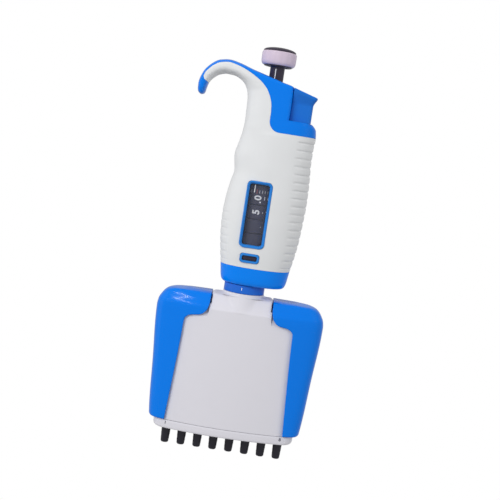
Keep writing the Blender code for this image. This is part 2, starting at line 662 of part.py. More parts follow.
def make_cylinders():
    """Block with the eight cylinders, the seal above it, and a tip cone plugged in under each."""
    half_x, root_top, shoulder = 34.6, 24.5, HOUSING_Z - 0.1
    body = part("cylinder_block", block((-half_x, -4.8, BLOCK_Z[0]), (half_x, 4.8, BLOCK_Z[1])),
                "manifold", "grey_plastic")
    seal = part("seal_plate", block((-half_x, -4.6, SEAL_Z[0]), (half_x, 4.6, SEAL_Z[1])),
                "manifold", "seal_rubber")
    for x in cone_places():
        cut(body, rod(SPIGOT_R + GAP, 10, root_top + 1.5, at=(x, 0), sides=16))
        cut(body, rod(PISTON_R + GAP, 20, 40, at=(x, 0), sides=12))
        cut(seal, rod(PISTON_R + GAP, 30, 45, at=(x, 0), sides=12))
    cone = [(SPIGOT_R, root_top), (SPIGOT_R, HOUSING_Z), (CONE_TOP_R, shoulder), (CONE_TOP_R, 10.0),
            (CONE_END_R + 0.08, 0.5), (CONE_END_R - 0.35, 0.0), (CONE_BORE_R, 0.0),
            (CONE_BORE_R, root_top)]
    for index, x in enumerate(cone_places()):
        turned(f"tip_cone_{index + 1}", cone, "manifold", "cone_black", at=(x, 0, 0), steps=14, ring=True)
    guide_low, guide_high = SEAL_Z[1] + GAP, YOKE_Z[0] - EJECTOR_TRAVEL - 0.5
    guide = [(0, guide_high), (GUIDE_R, guide_high), (GUIDE_R, guide_low), (0, guide_low)]
    for side, x in (("left", -GUIDE_X), ("right", GUIDE_X)):
        turned("guide_rod_" + side, guide, "manifold", "steel", at=(x, 0, 0), steps=14)


def make_pistons():
    low, high = PISTON_BAR_Z
    bar = part("piston_bar", block((-34, -4.5, low), (34, 4.5, high)), "piston_set", "grey_plastic")
    cut(bar, rod(3.0, high - 2, LINK_Z, sides=20), "UNION")
    for x in (-GUIDE_X, GUIDE_X):
        cut(bar, rod(GUIDE_R + GAP, low - 2, high + 2, at=(x, 0), sides=14))
    head_r, head_top, head_low, foot = 1.7, low - GAP, low - 1.5, 29.0
    piston = [(0, head_top), (head_r, head_top), (head_r, head_low), (PISTON_R, head_low),
              (PISTON_R, foot), (0, foot)]
    for index, x in enumerate(cone_places()):
        turned(f"piston_{index + 1}", piston, "piston_set", "steel", at=(x, 0, 0), steps=12)


def wing_outer():
    """The outer form that both wings are cut from."""
    levels = [
        (41.6, 15.6, 1.0), (42.4, 16.6, 1.0), (44.6, 47.0, 1.0), (46.5, 77.0, 1.0), (46.1, SLOPE_Z, 0.985),
        (44.3, 84.0, 0.86), (42.0, 86.6, 0.76), (38.5, 87.9, 0.69), (33.0, WING_TOP_Z, 0.62),
    ]
    return loft([panel_section(x - WING_WALL, z, lean, grow=WING_WALL, squareness=12.0)
                 for x, z, lean in levels])


def make_wings():
    for side, sign in (("left", -1), ("right", 1)):
        wing = part("wing_" + side, wing_outer(), "ejector_frame", "blue_plastic")
        outline = [(sign * x, z) for x, z in WING_EDGE]
        cut(wing, prism(outline, -FAR_Y - 2, FAR_Y + 2), "INTERSECT")
        cut(wing, housing_body(wall=-GAP, lift=EJECTOR_TRAVEL, bottom=HOUSING_Z - 2))


def make_bar_and_yoke():
    """The bar that pushes the tips off, and the yoke that the ejector sleeve pushes."""
    low, high = BAR_Z
    levels = [(BAR_HALF_X - 2.2, low, 0.93), (BAR_HALF_X - 0.7, low + 0.7, 0.985),
              (BAR_HALF_X, low + 2.2, 1.0), (BAR_HALF_X, high, 1.0)]
    bar = part("ejector_bar", loft([panel_section(x, z, lean) for x, z, lean in levels]),
               "ejector_frame", "panel_white")
    for x in cone_places():
        cut(bar, rod(CONE_TOP_R + GAP, 5, 20, at=(x, 0), sides=16))
    low, high = YOKE_Z
    reach = 38.6
    yoke = part("ejector_yoke", block((-reach, -4, low), (reach, 4, high)), "ejector_frame", "grey_plastic")
    cut(yoke, rod(YOKE_TUBE_R, low + 1, LINK_Z + GAP), "UNION")
    cut(yoke, rod(BOSS_R, low - 6, LINK_Z + 6, sides=20))


make_handle()
make_top_cover()
make_collar()
make_window()
make_plunger()
make_button()
make_spindle()
make_counter()
make_chassis()
make_return_parts()
make_ejector()
make_housing()
make_cylinders()
make_pistons()
make_wings()
make_bar_and_yoke()
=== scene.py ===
"""Looks of the manual eight-channel pipette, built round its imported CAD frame.

Axes are the frame's: +Z runs up the plunger, the row of tip cones lies along X, the display faces -Y
and the hook points to -X. Sizes are in millimetres, and MM turns them into metres. Shapes repeat the
CAD design's driving sizes at a finer resolution, and levels are read from the frame's boxes.
"""

import bisect
import json
from math import atan, copysign, cos, dist, hypot, pi, radians, sin, sqrt, tan

import bmesh
import bpy
from mathutils import Matrix, Vector


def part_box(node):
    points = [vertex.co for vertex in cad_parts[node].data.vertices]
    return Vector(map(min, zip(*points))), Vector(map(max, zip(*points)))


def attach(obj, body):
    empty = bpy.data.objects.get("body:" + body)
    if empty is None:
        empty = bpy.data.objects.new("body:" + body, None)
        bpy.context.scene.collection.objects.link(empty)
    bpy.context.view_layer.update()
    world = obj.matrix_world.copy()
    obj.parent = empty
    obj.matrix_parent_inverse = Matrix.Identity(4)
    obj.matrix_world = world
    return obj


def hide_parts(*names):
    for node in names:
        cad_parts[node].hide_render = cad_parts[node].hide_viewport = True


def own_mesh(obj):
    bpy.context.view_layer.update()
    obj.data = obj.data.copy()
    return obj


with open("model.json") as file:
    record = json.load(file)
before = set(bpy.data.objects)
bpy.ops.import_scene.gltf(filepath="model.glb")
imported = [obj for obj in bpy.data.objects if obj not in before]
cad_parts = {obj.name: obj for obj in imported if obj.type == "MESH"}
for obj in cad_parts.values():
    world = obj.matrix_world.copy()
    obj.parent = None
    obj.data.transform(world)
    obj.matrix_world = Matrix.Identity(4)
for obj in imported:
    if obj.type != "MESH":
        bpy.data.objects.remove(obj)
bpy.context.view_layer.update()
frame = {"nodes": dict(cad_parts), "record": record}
scene = bpy.context.scene

MM = 0.001
SEAM = 0.06  # width of the fine joint line between two fixed mouldings
GAP = 0.3  # clearance of the CAD design
WALL = 2.0  # wall of the handle's shells
FAR = 60.0  # reach of cutters past the object
PRINT = 0.08  # thickness of printed marks
FRONT = -pi / 2  # the front's direction in plan

# --- driving sizes of the handle ---
# Stations from the collar to the hook's tip: x and z on the finger side, x and z on the palm side or
# the back of the hook, half depth, squareness, and how far in from the finger side it is widest.
HANDLE = [
    (-15.1, 105.5, 23.3, 105.5, 15.4, 2.3, 19.2),
    (-16.5, 113.5, 24.8, 113.5, 16.2, 2.3, 20.6),
    (-17.7, 123.0, 26.0, 123.0, 16.6, 2.3, 21.9),
    (-18.1, 132.0, 26.6, 133.0, 16.9, 2.3, 22.4),
    (-17.6, 141.0, 27.0, 143.0, 16.9, 2.3, 22.3),
    (-16.2, 150.5, 26.9, 151.0, 16.6, 2.3, 21.6),
    (-15.1, 156.0, 26.6, 157.0, 16.4, 2.3, 20.9),
    (-16.2, 165.0, 26.0, 166.0, 16.0, 2.4, 20.6),
    (-14.6, 173.0, 26.0, 173.5, 15.7, 2.5, 18.4),
    (-13.7, 178.4, 26.35, 178.2, 15.4, 2.7, 16.2),
    (-13.3, 183.5, 25.7, 183.5, 14.9, 3.2, 13.8),
    (-13.3, 185.6, 24.0, 185.8, 14.65, 3.6, 13.0),
    (-13.3, 186.4, 22.6, 186.6, 14.57, 4.0, 12.75),
    (-13.35, 186.9, 10.4, 186.9, 14.52, 12.0, 12.6),
    (-13.5, 192.0, 10.4, 193.5, 14.0, 14.0, 12.0),
    (-13.7, 195.5, 10.4, 199.5, 13.6, 14.0, 12.2),
    (-14.2, 198.7, 10.4, 204.2, 13.3, 12.0, 12.6),
    (-15.2, 201.3, 3.8, 206.5, 13.0, 7.0, 9.8),
    (-16.8, 203.7, -4.1, 208.8, 12.6, 5.0, 6.8),
    (-19.2, 205.6, -13.0, 211.3, 12.0, 3.8, 4.2),
    (-23.0, 207.0, -20.0, 213.6, 11.2, 3.0, 3.6),
    (-26.7, 207.2, -25.8, 214.7, 10.4, 2.7, 3.8),
    (-30.5, 206.2, -31.0, 214.0, 9.6, 2.6, 3.9),
    (-33.7, 203.8, -36.0, 210.8, 9.0, 2.6, 3.7),
    (-35.7, 201.0, -39.6, 206.0, 8.4, 2.6, 3.2),
    (-36.6, 197.4, -41.3, 199.8, 7.8, 2.5, 2.6),
    (-36.9, 195.7, -41.2, 197.0, 6.8, 2.4, 2.2),
    (-37.5, 194.7, -40.6, 195.2, 5.0, 2.3, 1.6),
    (-38.5, 194.3, -39.6, 194.4, 2.8, 2.2, 0.6),
]
GRIP_STATIONS = 10  # stations of the grip, up to the shoulder
HOLLOW_STATIONS = 16  # stations that are hollow inside
HOLLOW_SQUARENESS = 3.0
FINGER_SQUARENESS = 2.9  # the finger side stays rounder than the palm side
PALM_RIBS = dict(pitch=4.3, low=107.2, high=176.5, fade=0.8, depth=0.6)
FINGER_RIBS = dict(pitch=4.2, low=108.0, high=135.0, fade=1.2, depth=0.3)
PALM_REACH, FINGER_REACH = (6.4, 9.2), 4.6  # how far the ribs run in from the edges
PALM_WIDENS_Z = (108, 150)  # where the palm's ribs grow longer
RIB_ON_FACES = 0.8  # share of the grooves' depth that is left on the front and back
CREST_X, CREST_LOW, CREST_HIGH = 2.6, 152.0, 180.0  # soft ridge down the front, over the window
CREST_HALF, CREST_RISE, CREST_FADE = 9.0, 0.55, (9.0, 3.0)
GRIP_ROWS, HOOK_ROWS = 190, 120  # rings of points along the grip, and over the hook
# The edge between white handle and blue cover: up the flank, over the hook, and round its tip.
COVER_CORNER, COVER_CORNER_R = (0.0, 179.4), 6.0
COVER_FLANK = [(0.0, 189.5), (-0.4, 193.5), (-1.7, 197.6), (-3.9, 201.6)]
COVER_STRIP = [COVER_FLANK[-1], (-7.3, 204.9), (-12.1, 207.9), (-17.0, 210.3), (-21.7, 211.9),
               (-25.8, 212.7), (-30.6, 212.0), (-34.6, 209.6)]
COVER_TIP = [(-37.6, 206.3), (-38.6, 203.7), (-37.9, 202.0), (-34.6, 200.2), (-33.0, 190.0)]

STEM_R, STEM_HOLE_R = 3.95, 6.35  # the button's stem, and its hole in the cover
BUTTON_RIM, FLUTES = 1.5, 16  # thickness of the button's ring, and its flutes
EJECTOR_X = 17.5  # the ejector rod's line
NECK_PALM_X, NECK_HALF_Y, NECK_BOTTOM_Z = 22.0, 10.5, 184.2  # the ejector button's neck
BEHIND_STEM_X = 10.4  # the cover's flat side, which the ejector button stands against
EJECTOR_TRAVEL = 4.5
WINDOW, WINDOW_RIM = (-6.6, 7.1, 116.5, 152.5), 1.5  # outside of the frame, as x, x, z, z, and its width
SLOT, SLOT_RIM = (-5.0, 5.6, 108.3, 113.5), 1.3
# a white strip painted on the lens as its highlight, as x, x, z, z
LENS_HIGHLIGHT_STRIP = (-2.45, -2.15, 146.4, 150.4)
DRUM_BORE_R = 8.2
DIGIT_STEP = radians(36)
TENTHS_Z = 143.6  # level of the tenths drum's digits, under its scale

# --- driving sizes of the manifold ---
PITCH, CHANNELS = 9.0, 8
CONE_PLACES = [PITCH * (i - (CHANNELS - 1) / 2) for i in range(CHANNELS)]  # from the hook's side
PANEL_DEPTH, PANEL_CROWN = 13.5, 4.0 / 34.0 ** 2
HOUSING_Z, HOUSING_HALF = 15.2, 37.4  # bottom of the white housing, and its half width there
HOUSING_FLARE = 2.9  # how much wider it is where its faces start to slope
SLOPE_Z, SHOULDER_Z = 80.3, 88.6
LEAN_START = SLOPE_Z - EJECTOR_TRAVEL - GAP
HOUSING_TOP = 83.0  # top of the housing's stretch under the wings
BLOCK_X = 16.95  # half width of the white block between the wings
BLOCK_EDGE, BLOCK_EDGE_DEPTH = 0.12, 7.4  # width of the block's edges, and their depth at the start
FACE_COLUMNS, SIDE_COLUMNS = 30, 22  # points across half a face, and round its side
NECK_ROOT_R = (13.5, 11.35)  # round root of the neck, at the slope and at the ring
FILLET_HEIGHT = 1.8  # of the flare from the neck's root to the block's top
NECK_R, NECK_Z = 11.2, (90.6, 95.2)  # the swivel ring
NECK_HOLE_R = 10.6  # hole for it in the collar
YOKE_Z = (76.0, 78.8)  # the ejector yoke, which passes the housing's sides
WING_WALL = 1.5
WING_EDGE = [  # inner edge of the right-hand wing on the manifold's face, from the bottom up
    (33.3, 8.0), (32.9, 15.5), (31.9, 31.0), (30.2, 62.0), (29.8, 72.5), (28.6, 74.4), (26.1, 75.6),
    (22.0, 76.3), (19.6, 77.7), (17.9, 80.3), (17.15, 84.0), (17.05, 95.0),
]
WING_LEVELS = [  # z, half width with the wall, and how far the faces lean to the middle
    (15.6, 42.0, 1.0), (16.4, 42.4, 1.0), (47.0, 44.6, 1.0), (77.0, 46.5, 1.0), (80.3, 46.1, 0.985),
    (84.0, 44.3, 0.86), (86.6, 42.0, 0.76), (87.9, 38.5, 0.69), (88.3, 33.0, 0.62),
]

# --- light and camera, in metres ---
SURROUND = 0.475  # strength of the white surround as light. The camera sees it at 1
WHITE_LIGHT = (1.0, 1.0, 1.0, 1.0)
FLOOR_HALF, FLOOR_Z = 4.0, -0.001
LAMPS = [  # name, place, watts, width and height
    ("key", (-0.55, -0.60, 0.40), 4.4, 0.5, 0.5),
    ("fill", (0.75, -0.38, 0.36), 2.3, 0.5, 0.5),
    ("top", (0.0, 0.05, 0.95), 1.5, 0.6, 0.5),
    ("rear", (0.30, 0.90, 0.40), 2.2, 0.8, 0.8),
    ("side", (-0.90, -0.10, 0.25), 0.6, 0.5, 0.9),
    ("streak", (-0.37, -0.59, 0.505), 0.5, 0.20, 0.006),
]
MIRRORED = ("side", "streak")  # lamps that show in glossy surfaces
LAMP_AIM = (0, 0, 0.12)
CAMERA_PLACE, CAMERA_PITCH, CAMERA_ROLL, CAMERA_LENS = (0.0, -0.561, 0.168), 5.5, 8.65, 73.6


# --- numbers and curves ---
def limits(node):
    """Lowest and highest corner of a CAD node, in millimetres."""
    low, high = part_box(node)
    return Vector(low) / MM, Vector(high) / MM


def middle_z(node):
    low, high = limits(node)
    return (low.z + high.z) / 2


def smoothstep(low, high, value):
    share = min(max((value - low) / (high - low), 0.0), 1.0)
    return share * share * (3 - 2 * share)


def smooth_max(a, b, blend):
    """The larger of two heights, with a fillet where they meet."""
    share = min(max(0.5 + 0.5 * (a - b) / blend, 0.0), 1.0)
    return b + (a - b) * share + blend * share * (1 - share)


def curve_through(knots, values):
    """A smooth function through the values at the knots, which never overshoots them."""
    steps = [b - a for a, b in zip(knots, knots[1:])]
    slopes = [(d - c) / step for c, d, step in zip(values, values[1:], steps)]
    tangents = [slopes[0]]
    for before, after in zip(slopes, slopes[1:]):
        tangents.append(0.0 if before * after <= 0 else 2 * before * after / (before + after))
    tangents.append(slopes[-1])

    def value_at(x):
        i = min(max(bisect.bisect_right(knots, x) - 1, 0), len(steps) - 1)
        t = min(max((x - knots[i]) / steps[i], 0.0), 1.0)
        ease = values[i] + (values[i + 1] - values[i]) * t * t * (3 - 2 * t)
        return ease + steps[i] * t * (1 - t) * ((1 - t) * tangents[i] - t * tangents[i + 1])

    return value_at


def around(points, start=0.0):
    """Cosine and sine of evenly spaced angles, once round."""
    angles = [2 * pi * (i + start) / points for i in range(points)]
    return [(cos(a), sin(a)) for a in angles]


def squared(c, s, squareness):
    """A point of the unit circle moved out onto a squarer curve. A squareness of 2 is round."""
    power = 2 / squareness
    return copysign(abs(c) ** power, c), copysign(abs(s) ** power, s)


def side_round(share, squareness=24):
    """Share of its depth that a face keeps towards its side, at a share of its half width."""
    return max(1 - min(abs(share), 1.0) ** squareness, 0.0) ** 0.45


def spaced(first, last, steps):
    """Evenly spaced values, with both ends."""
    return [first + (last - first) * k / steps for k in range(steps + 1)]


def arc(cx, cz, radius, start, end, steps):
    """Points of an arc between two angles in degrees."""
    return [(cx + radius * cos(radians(a)), cz + radius * sin(radians(a))) for a in spaced(start, end, steps)]


def rounded(x0, x1, z0, z1, radius, steps=8):
    """Outline of a rectangle with round corners, anticlockwise from its right-hand upper corner."""
    left, right, bottom, top = x0 + radius, x1 - radius, z0 + radius, z1 - radius
    outline = []
    for k, centre in enumerate([(right, top), (left, top), (left, bottom), (right, bottom)]):
        outline += arc(*centre, radius, 90 * k, 90 * k + 90, steps)
    return outline


def shrunk(box, by):
    x0, x1, z0, z1 = box
    return (x0 + by, x1 - by, z0 + by, z1 - by)


def rounded_profile(points, radii, steps=4):
    """A closed profile with each corner turned into an arc of its own radius."""
    outline = []
    for i, (here, radius) in enumerate(zip(points, radii)):
        here = Vector(here)
        before, after = Vector(points[i - 1]) - here, Vector(points[(i + 1) % len(points)]) - here
        if radius <= 0:
            outline.append(tuple(here))
            continue
        angle = before.angle(after)
        reach = min(radius / tan(angle / 2), before.length * 0.49, after.length * 0.49)
        start, end = here + before.normalized() * reach, here + after.normalized() * reach
        for t in spaced(0, 1, steps):
            outline.append(tuple(start * (1 - t) ** 2 + here * 2 * t * (1 - t) + end * t * t))
    return outline


def hoop(outer, inner, low, high, radius):
    """Profile of a ring with softened corners."""
    return rounded_profile([(outer, high), (outer, low), (inner, low), (inner, high)], [radius] * 4)


def beside_stem(near, far, half, radius, sharp=0.0):
    """Plan of a form against the cover's flat side, with its two palm-side corners rounded."""
    corners = [(far, half), (near, half), (near, -half), (far, -half)]
    return rounded_profile(corners, [radius, sharp, sharp, radius], steps=8)


# --- meshes ---
def to_mesh(bm):
    """A mesh from a bmesh in millimetres, with its normals facing out."""
    bmesh.ops.recalc_face_normals(bm, faces=bm.faces)
    bmesh.ops.scale(bm, vec=(MM, MM, MM), verts=bm.verts)
    mesh = bpy.data.meshes.new("form")
    bm.to_mesh(mesh)
    bm.free()
    return mesh


def placed(name, data):
    """A new object in the scene."""
    obj = bpy.data.objects.new(name, data)
    scene.collection.objects.link(obj)
    return obj


def final_mesh(obj):
    """The mesh of a working object with its modifiers applied."""
    graph = bpy.context.evaluated_depsgraph_get()
    result = bpy.data.meshes.new_from_object(obj.evaluated_get(graph))
    bpy.data.objects.remove(obj)
    return result


def skin(rings, wrap, spans):
    """A bmesh skin over rings of points. wrap joins the last ring to the first."""
    bm = bmesh.new()
    rows = [[bm.verts.new(point) for point in ring] for ring in rings]
    for here, there in zip(rows, rows[1:] + rows[:1] if wrap else rows[1:]):
        for i in range(spans):
            j = (i + 1) % len(here)
            bm.faces.new((here[i], here[j], there[j], there[i]))
    return bm, rows


def loft(rings, closed=False):
    """A solid through rings of points, with flat ends, or joined end to end like a bent pipe."""
    bm, rows = skin(rings, closed, len(rings[0]))
    if not closed:
        bm.faces.new(rows[0])
        bm.faces.new(rows[-1])
    return to_mesh(bm)


def turned(profile, at_x=0.0, steps=96, swell=None):
    """A turned solid from a closed or axis-to-axis profile of (radius, z). swell(angle, z) scales the
    radius, for flutes."""
    rings = []
    for i in range(steps):
        angle = 2 * pi * i / steps
        reaches = [(radius * (swell(angle, z) if swell else 1.0), z) for radius, z in profile]
        rings.append([(at_x + reach * cos(angle), reach * sin(angle), z) for reach, z in reaches])
    bm, _ = skin(rings, True, len(profile) if profile[0][0] else len(profile) - 1)
    bmesh.ops.remove_doubles(bm, verts=bm.verts, dist=0.0005)
    bmesh.ops.dissolve_degenerate(bm, edges=bm.edges, dist=0.0001)
    return to_mesh(bm)


def cuboid(size):
    """A centred block as a bmesh in millimetres."""
    bm = bmesh.new()
    bmesh.ops.create_cube(bm, size=1.0)
    bmesh.ops.scale(bm, vec=size, verts=bm.verts)
    return bm


def block(low, high):
    bm = cuboid([h - l for l, h in zip(low, high)])
    bmesh.ops.translate(bm, vec=[(h + l) / 2 for l, h in zip(low, high)], verts=bm.verts)
    return to_mesh(bm)


def rod(radius, low, high, at_x=0.0, sides=64):
    return loft([[(at_x + radius * c, radius * s, z) for c, s in around(sides)] for z in (low, high)])


def prism(outline, low, high):
    """An outline in X and Z, given depth from y = low to y = high."""
    return loft([[(x, y, z) for x, z in outline] for y in (low, high)])


def plate(box, radius, steps):
    """A flat plate with round corners, through steps of (y, how far its outline is drawn in)."""
    return loft([[(x, y, z) for x, z in rounded(*shrunk(box, inset), radius)] for y, inset in steps])


def rotated(mesh, degrees):
    mesh.transform(Matrix.Rotation(radians(degrees), 4, "Z"))
    return mesh


def boolean(mesh, tool, operation="DIFFERENCE"):
    """The mesh with a tool mesh cut from it or joined on, or what they share."""
    body, cutter = placed("body", mesh), placed("cutter", tool)
    modifier = body.modifiers.new("Cut", "BOOLEAN")
    modifier.operation = operation
    modifier.object = cutter
    result = final_mesh(body)
    bpy.data.objects.remove(cutter)
    return result


def cut(mesh, *tools):
    """The mesh with each tool mesh cut from it in turn."""
    for tool in tools:
        mesh = boolean(mesh, tool)
    return mesh


def joined(meshes):
    """Several meshes as one, each kept as its own solid."""
    bm = bmesh.new()
    for mesh in meshes:
        bm.from_mesh(mesh)
    result = bpy.data.meshes.new("joined")
    bm.to_mesh(result)
    bm.free()
    return result


def glyph(text, height, thickness=PRINT):
    """A number as a thin, centred bmesh in X and Y."""
    curve = bpy.data.curves.new("glyph", "FONT")
    curve.body = text
    curve.extrude = 0.5
    curve.offset = 0.03
    bm = bmesh.new()
    bm.from_mesh(final_mesh(placed("glyph", curve)))
    bmesh.ops.remove_doubles(bm, verts=bm.verts, dist=0.0005)
    xs, ys, _ = zip(*[v.co for v in bm.verts])
    scale = height / (max(ys) - min(ys))
    bmesh.ops.translate(bm, vec=(-(max(xs) + min(xs)) / 2, -(max(ys) + min(ys)) / 2, 0), verts=bm.verts)
    bmesh.ops.scale(bm, vec=(scale, scale, thickness), verts=bm.verts)
    return bm


def piece(name, mesh, body, material, slot, *replaces, sharp=32):
    """Puts a mesh on a body as a named piece, in place of CAD nodes."""
    obj = placed(name, mesh)
    mesh.materials.clear()
    mesh.materials.append(material)
    mesh.shade_smooth()
    mesh.set_sharp_from_angle(angle=radians(sharp))
    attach(obj, body)
    if replaces:
        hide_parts(*replaces)
    return obj


# --- materials ---
PATCH_SIZE = 9.0  # size of the patches in gloss and colour, in millimetres
PALE_EDGE_FROM, PALE_EDGE_TO = 0.54, 0.72  # how sharp an edge is where it starts to turn paler, and where it is palest


def feed(node, **values):
    """Sets sockets of a shader node, each to a plain value or to another node's output."""
    for name, value in values.items():
        socket = node.inputs[name.replace("_", " ")]
        if isinstance(value, bpy.types.NodeSocket):
            node.id_data.links.new(value, socket)
        else:
            socket.default_value = value
    return node


def add_node(tree, kind, **values):
    return feed(tree.nodes.new("ShaderNode" + kind), **values)


def mixed(tree, factor, first, second):
    """A colour between two others."""
    mix = tree.nodes.new("ShaderNodeMix")
    mix.data_type = "RGBA"
    return feed(mix, Factor=factor, A=first, B=second).outputs["Result"]


def material(name, colour, roughness, metallic=0.0, grain=0.02, grain_size=0.35, mottle=0.03,
             edge_paling=0.0, subsurface=0.0, brushed=False, specular=0.5):
    """A moulded or machined surface: fine grain in the bump, patches in gloss and colour, and sharp edges
    drawn paler. Sizes are in millimetres."""
    made = bpy.data.materials.new(name)
    made.use_nodes = True
    tree = made.node_tree
    places = add_node(tree, "TexCoord").outputs["Object"]
    stretch = add_node(tree, "Mapping", Vector=places, Scale=(1, 1, 40 if brushed else 1))
    noises = [add_node(tree, "TexNoise", Vector=stretch.outputs["Vector"], Scale=1 / (size * MM),
                       Detail=detail) for size, detail in ((PATCH_SIZE, 4.0), (grain_size, 3.0))]
    patches, fine = [noise.outputs["Fac"] for noise in noises]
    gloss = add_node(tree, "MapRange", Value=patches, To_Min=roughness - 0.06, To_Max=roughness + 0.08)
    darker, paler = [(*[c * share for c in colour], 1.0) for share in (1 - mottle, 1 + mottle)]
    shown = mixed(tree, patches, darker, paler)
    # sharp edges drawn paler, by their pointiness
    if edge_paling:
        point = add_node(tree, "NewGeometry").outputs["Pointiness"]
        edge = add_node(tree, "MapRange", Value=point, From_Min=PALE_EDGE_FROM, From_Max=PALE_EDGE_TO, To_Max=edge_paling)
        shown = mixed(tree, edge.outputs["Result"], shown, (*[c * 0.55 + 0.4 for c in colour], 1.0))
    bump = add_node(tree, "Bump", Height=fine, Strength=0.6, Distance=grain * MM)
    feed(tree.nodes["Principled BSDF"], Metallic=metallic, Specular_IOR_Level=specular,
         Subsurface_Weight=subsurface, Subsurface_Radius=(0.002, 0.0018, 0.0018), Base_Color=shown,
         Roughness=gloss.outputs["Result"], Normal=bump.outputs["Normal"])
    return made


def clear_material(name, colour, alpha):
    """Thin clear plastic with a faint haze."""
    made = material(name, colour, 0.08, grain=0.002, mottle=0.02)
    feed(made.node_tree.nodes["Principled BSDF"], Alpha=alpha)
    return made


def glossy_blue(name, colour, roughness):
    """Polished blue moulding."""
    return material(name, colour, roughness, grain=0.002, mottle=0.02, edge_paling=0.03, specular=0.2)


def bare_metal(name, colour, roughness):
    """Turned or drawn metal with fine marks along it."""
    return material(name, colour, roughness, metallic=1.0, grain=0.004, grain_size=0.2, brushed=True)


WHITE = material("handle_white", (0.67, 0.68, 0.69), 0.45, grain=0.012, mottle=0.01, edge_paling=0.05,
                 subsurface=0.05, specular=0.3)
PANEL = material("panel_white", (0.66, 0.65, 0.70), 0.40, grain=0.010, mottle=0.012, subsurface=0.05,
                 specular=0.3)
BLUE = glossy_blue("cover_blue", (0.0, 0.175, 0.74), 0.13)
# painted shade: a darker copy of the cover's blue, for the recessed ejector button
EJECTOR_SHADED_BLUE = glossy_blue("ejector_blue_painted_shade", (0.01, 0.145, 0.57), 0.2)
# painted light: a lighter copy of the cover's blue, for the collar
COLLAR_LIT_BLUE = glossy_blue("collar_blue_painted_light", (0.0, 0.205, 0.83), 0.16)
NECK_BLUE = material("neck_blue", (0.015, 0.13, 0.58), 0.32, grain=0.008, edge_paling=0.04, specular=0.25)
FRAME_BLUE = material("frame_blue", (0.02, 0.20, 0.62), 0.3, grain=0.008, edge_paling=0.10, specular=0.3)
DARK = material("dark_plastic", (0.030, 0.022, 0.040), 0.32, grain=0.012, edge_paling=0.04)
CONE = material("cone_black", (0.009, 0.008, 0.016), 0.38, grain=0.02, mottle=0.06, edge_paling=0.04)
RING = material("ring_pink", (0.58, 0.485, 0.59), 0.3, grain=0.004, mottle=0.02, subsurface=0.05,
                specular=0.4)
DRUM = material("drum_dark", (0.050, 0.048, 0.080), 0.4, grain=0.01, mottle=0.05, specular=0.3)
PRINT_WHITE = material("print_white", (0.85, 0.85, 0.86), 0.5, grain=0.004)
PRINT_RED = material("print_red", (0.60, 0.06, 0.05), 0.5, grain=0.004)
PRINT_GREY = material("print_grey", (0.12, 0.12, 0.15), 0.5, grain=0.004)
LENS = clear_material("lens_clear", (0.35, 0.38, 0.46), 0.06)
STEEL = bare_metal("steel", (0.60, 0.60, 0.62), 0.26)
BRASS = bare_metal("brass", (0.72, 0.50, 0.22), 0.30)
GREY = material("grey_plastic", (0.33, 0.34, 0.36), 0.48, grain=0.02, mottle=0.04)
RUBBER = material("seal_rubber", (0.045, 0.045, 0.048), 0.7, grain=0.03, mottle=0.06)


# --- handle ---
def oval(points, x0, x1, z0, z1, half_y, squareness):
    """A ring across the handle, from a point on its finger side to one on its palm side."""
    corners = [squared(c, s, squareness) for c, s in around(points)]
    return [((x0 + x1 + (x1 - x0) * u) / 2, half_y * v, (z0 + z1 + (z1 - z0) * u) / 2) for u, v in corners]


def station_curves():
    """The stations' seven values as smooth functions of the distance along the handle."""
    along = [0.0]
    for here, there in zip(HANDLE, HANDLE[1:]):
        finger, palm = dist(here[:2], there[:2]), dist(here[2:4], there[2:4])
        along.append(along[-1] + (finger + palm) / 2)
    return [curve_through(along, column) for column in zip(*HANDLE)], along


def rib_depth(z, inward, ribs):
    """Depth of the groove between two grip ribs, at a height and a distance in from their ends."""
    if inward <= 0 or not ribs["low"] < z < ribs["high"]:
        return 0.0
    phase = (z - ribs["low"]) / ribs["pitch"] % 1.0
    return ribs["depth"] * abs(2 * phase - 1) ** 5 * smoothstep(0.0, ribs["fade"], inward)


def crest_rise(x, z):
    """How far the soft ridge stands out of the front."""
    slope = max(1 - abs(x - CREST_X) / CREST_HALF, 0.0)
    upper = 1 - smoothstep(CREST_HIGH - CREST_FADE[1], CREST_HIGH, z)
    return CREST_RISE * slope * smoothstep(CREST_LOW, CREST_LOW + CREST_FADE[0], z) * upper


def handle_skin():
    """The handle's outer form, with grip ribs and a soft crest over the window."""
    curves, along = station_curves()
    grip = along[GRIP_STATIONS - 1]
    places = spaced(0.0, grip, GRIP_ROWS) + spaced(grip, along[-1], HOOK_ROWS)[1:]
    rings = []
    for place in places:
        fx, fz, bx, bz, depth, square, widest = [curve(place) for curve in curves]
        palm_reach = PALM_REACH[0] + (PALM_REACH[1] - PALM_REACH[0]) * smoothstep(*PALM_WIDENS_Z, bz)
        middle = widest / hypot(bx - fx, bz - fz)
        ring = []
        for c, s in around(112, 0.5):
            u, v = squared(c, s, square if c > 0 else min(square, FINGER_SQUARENESS))
            share = middle + u * (1 - middle if u > 0 else middle)
            x, z = fx + (bx - fx) * share, fz + (bz - fz) * share
            groove = rib_depth(z, x - bx + palm_reach, PALM_RIBS)
            groove += rib_depth(z, fx + FINGER_REACH - x, FINGER_RIBS)
            x -= groove * c
            y = depth * v - groove * s * RIB_ON_FACES
            ring.append((x, y - crest_rise(x, z) if s < 0 else y, z))
        rings.append(ring)
    return loft(rings)


def thinner(station, drop=0.0):
    """The oval of a handle station, drawn in by the wall's thickness and lowered."""
    fx, fz, bx, bz, depth, squareness, _ = station
    inwards = Vector((bx - fx, bz - fz)).normalized() * WALL
    return (fx + inwards.x, bx - inwards.x, fz + inwards.y - drop, bz - inwards.y - drop,
            depth - WALL, min(squareness, HOLLOW_SQUARENESS))


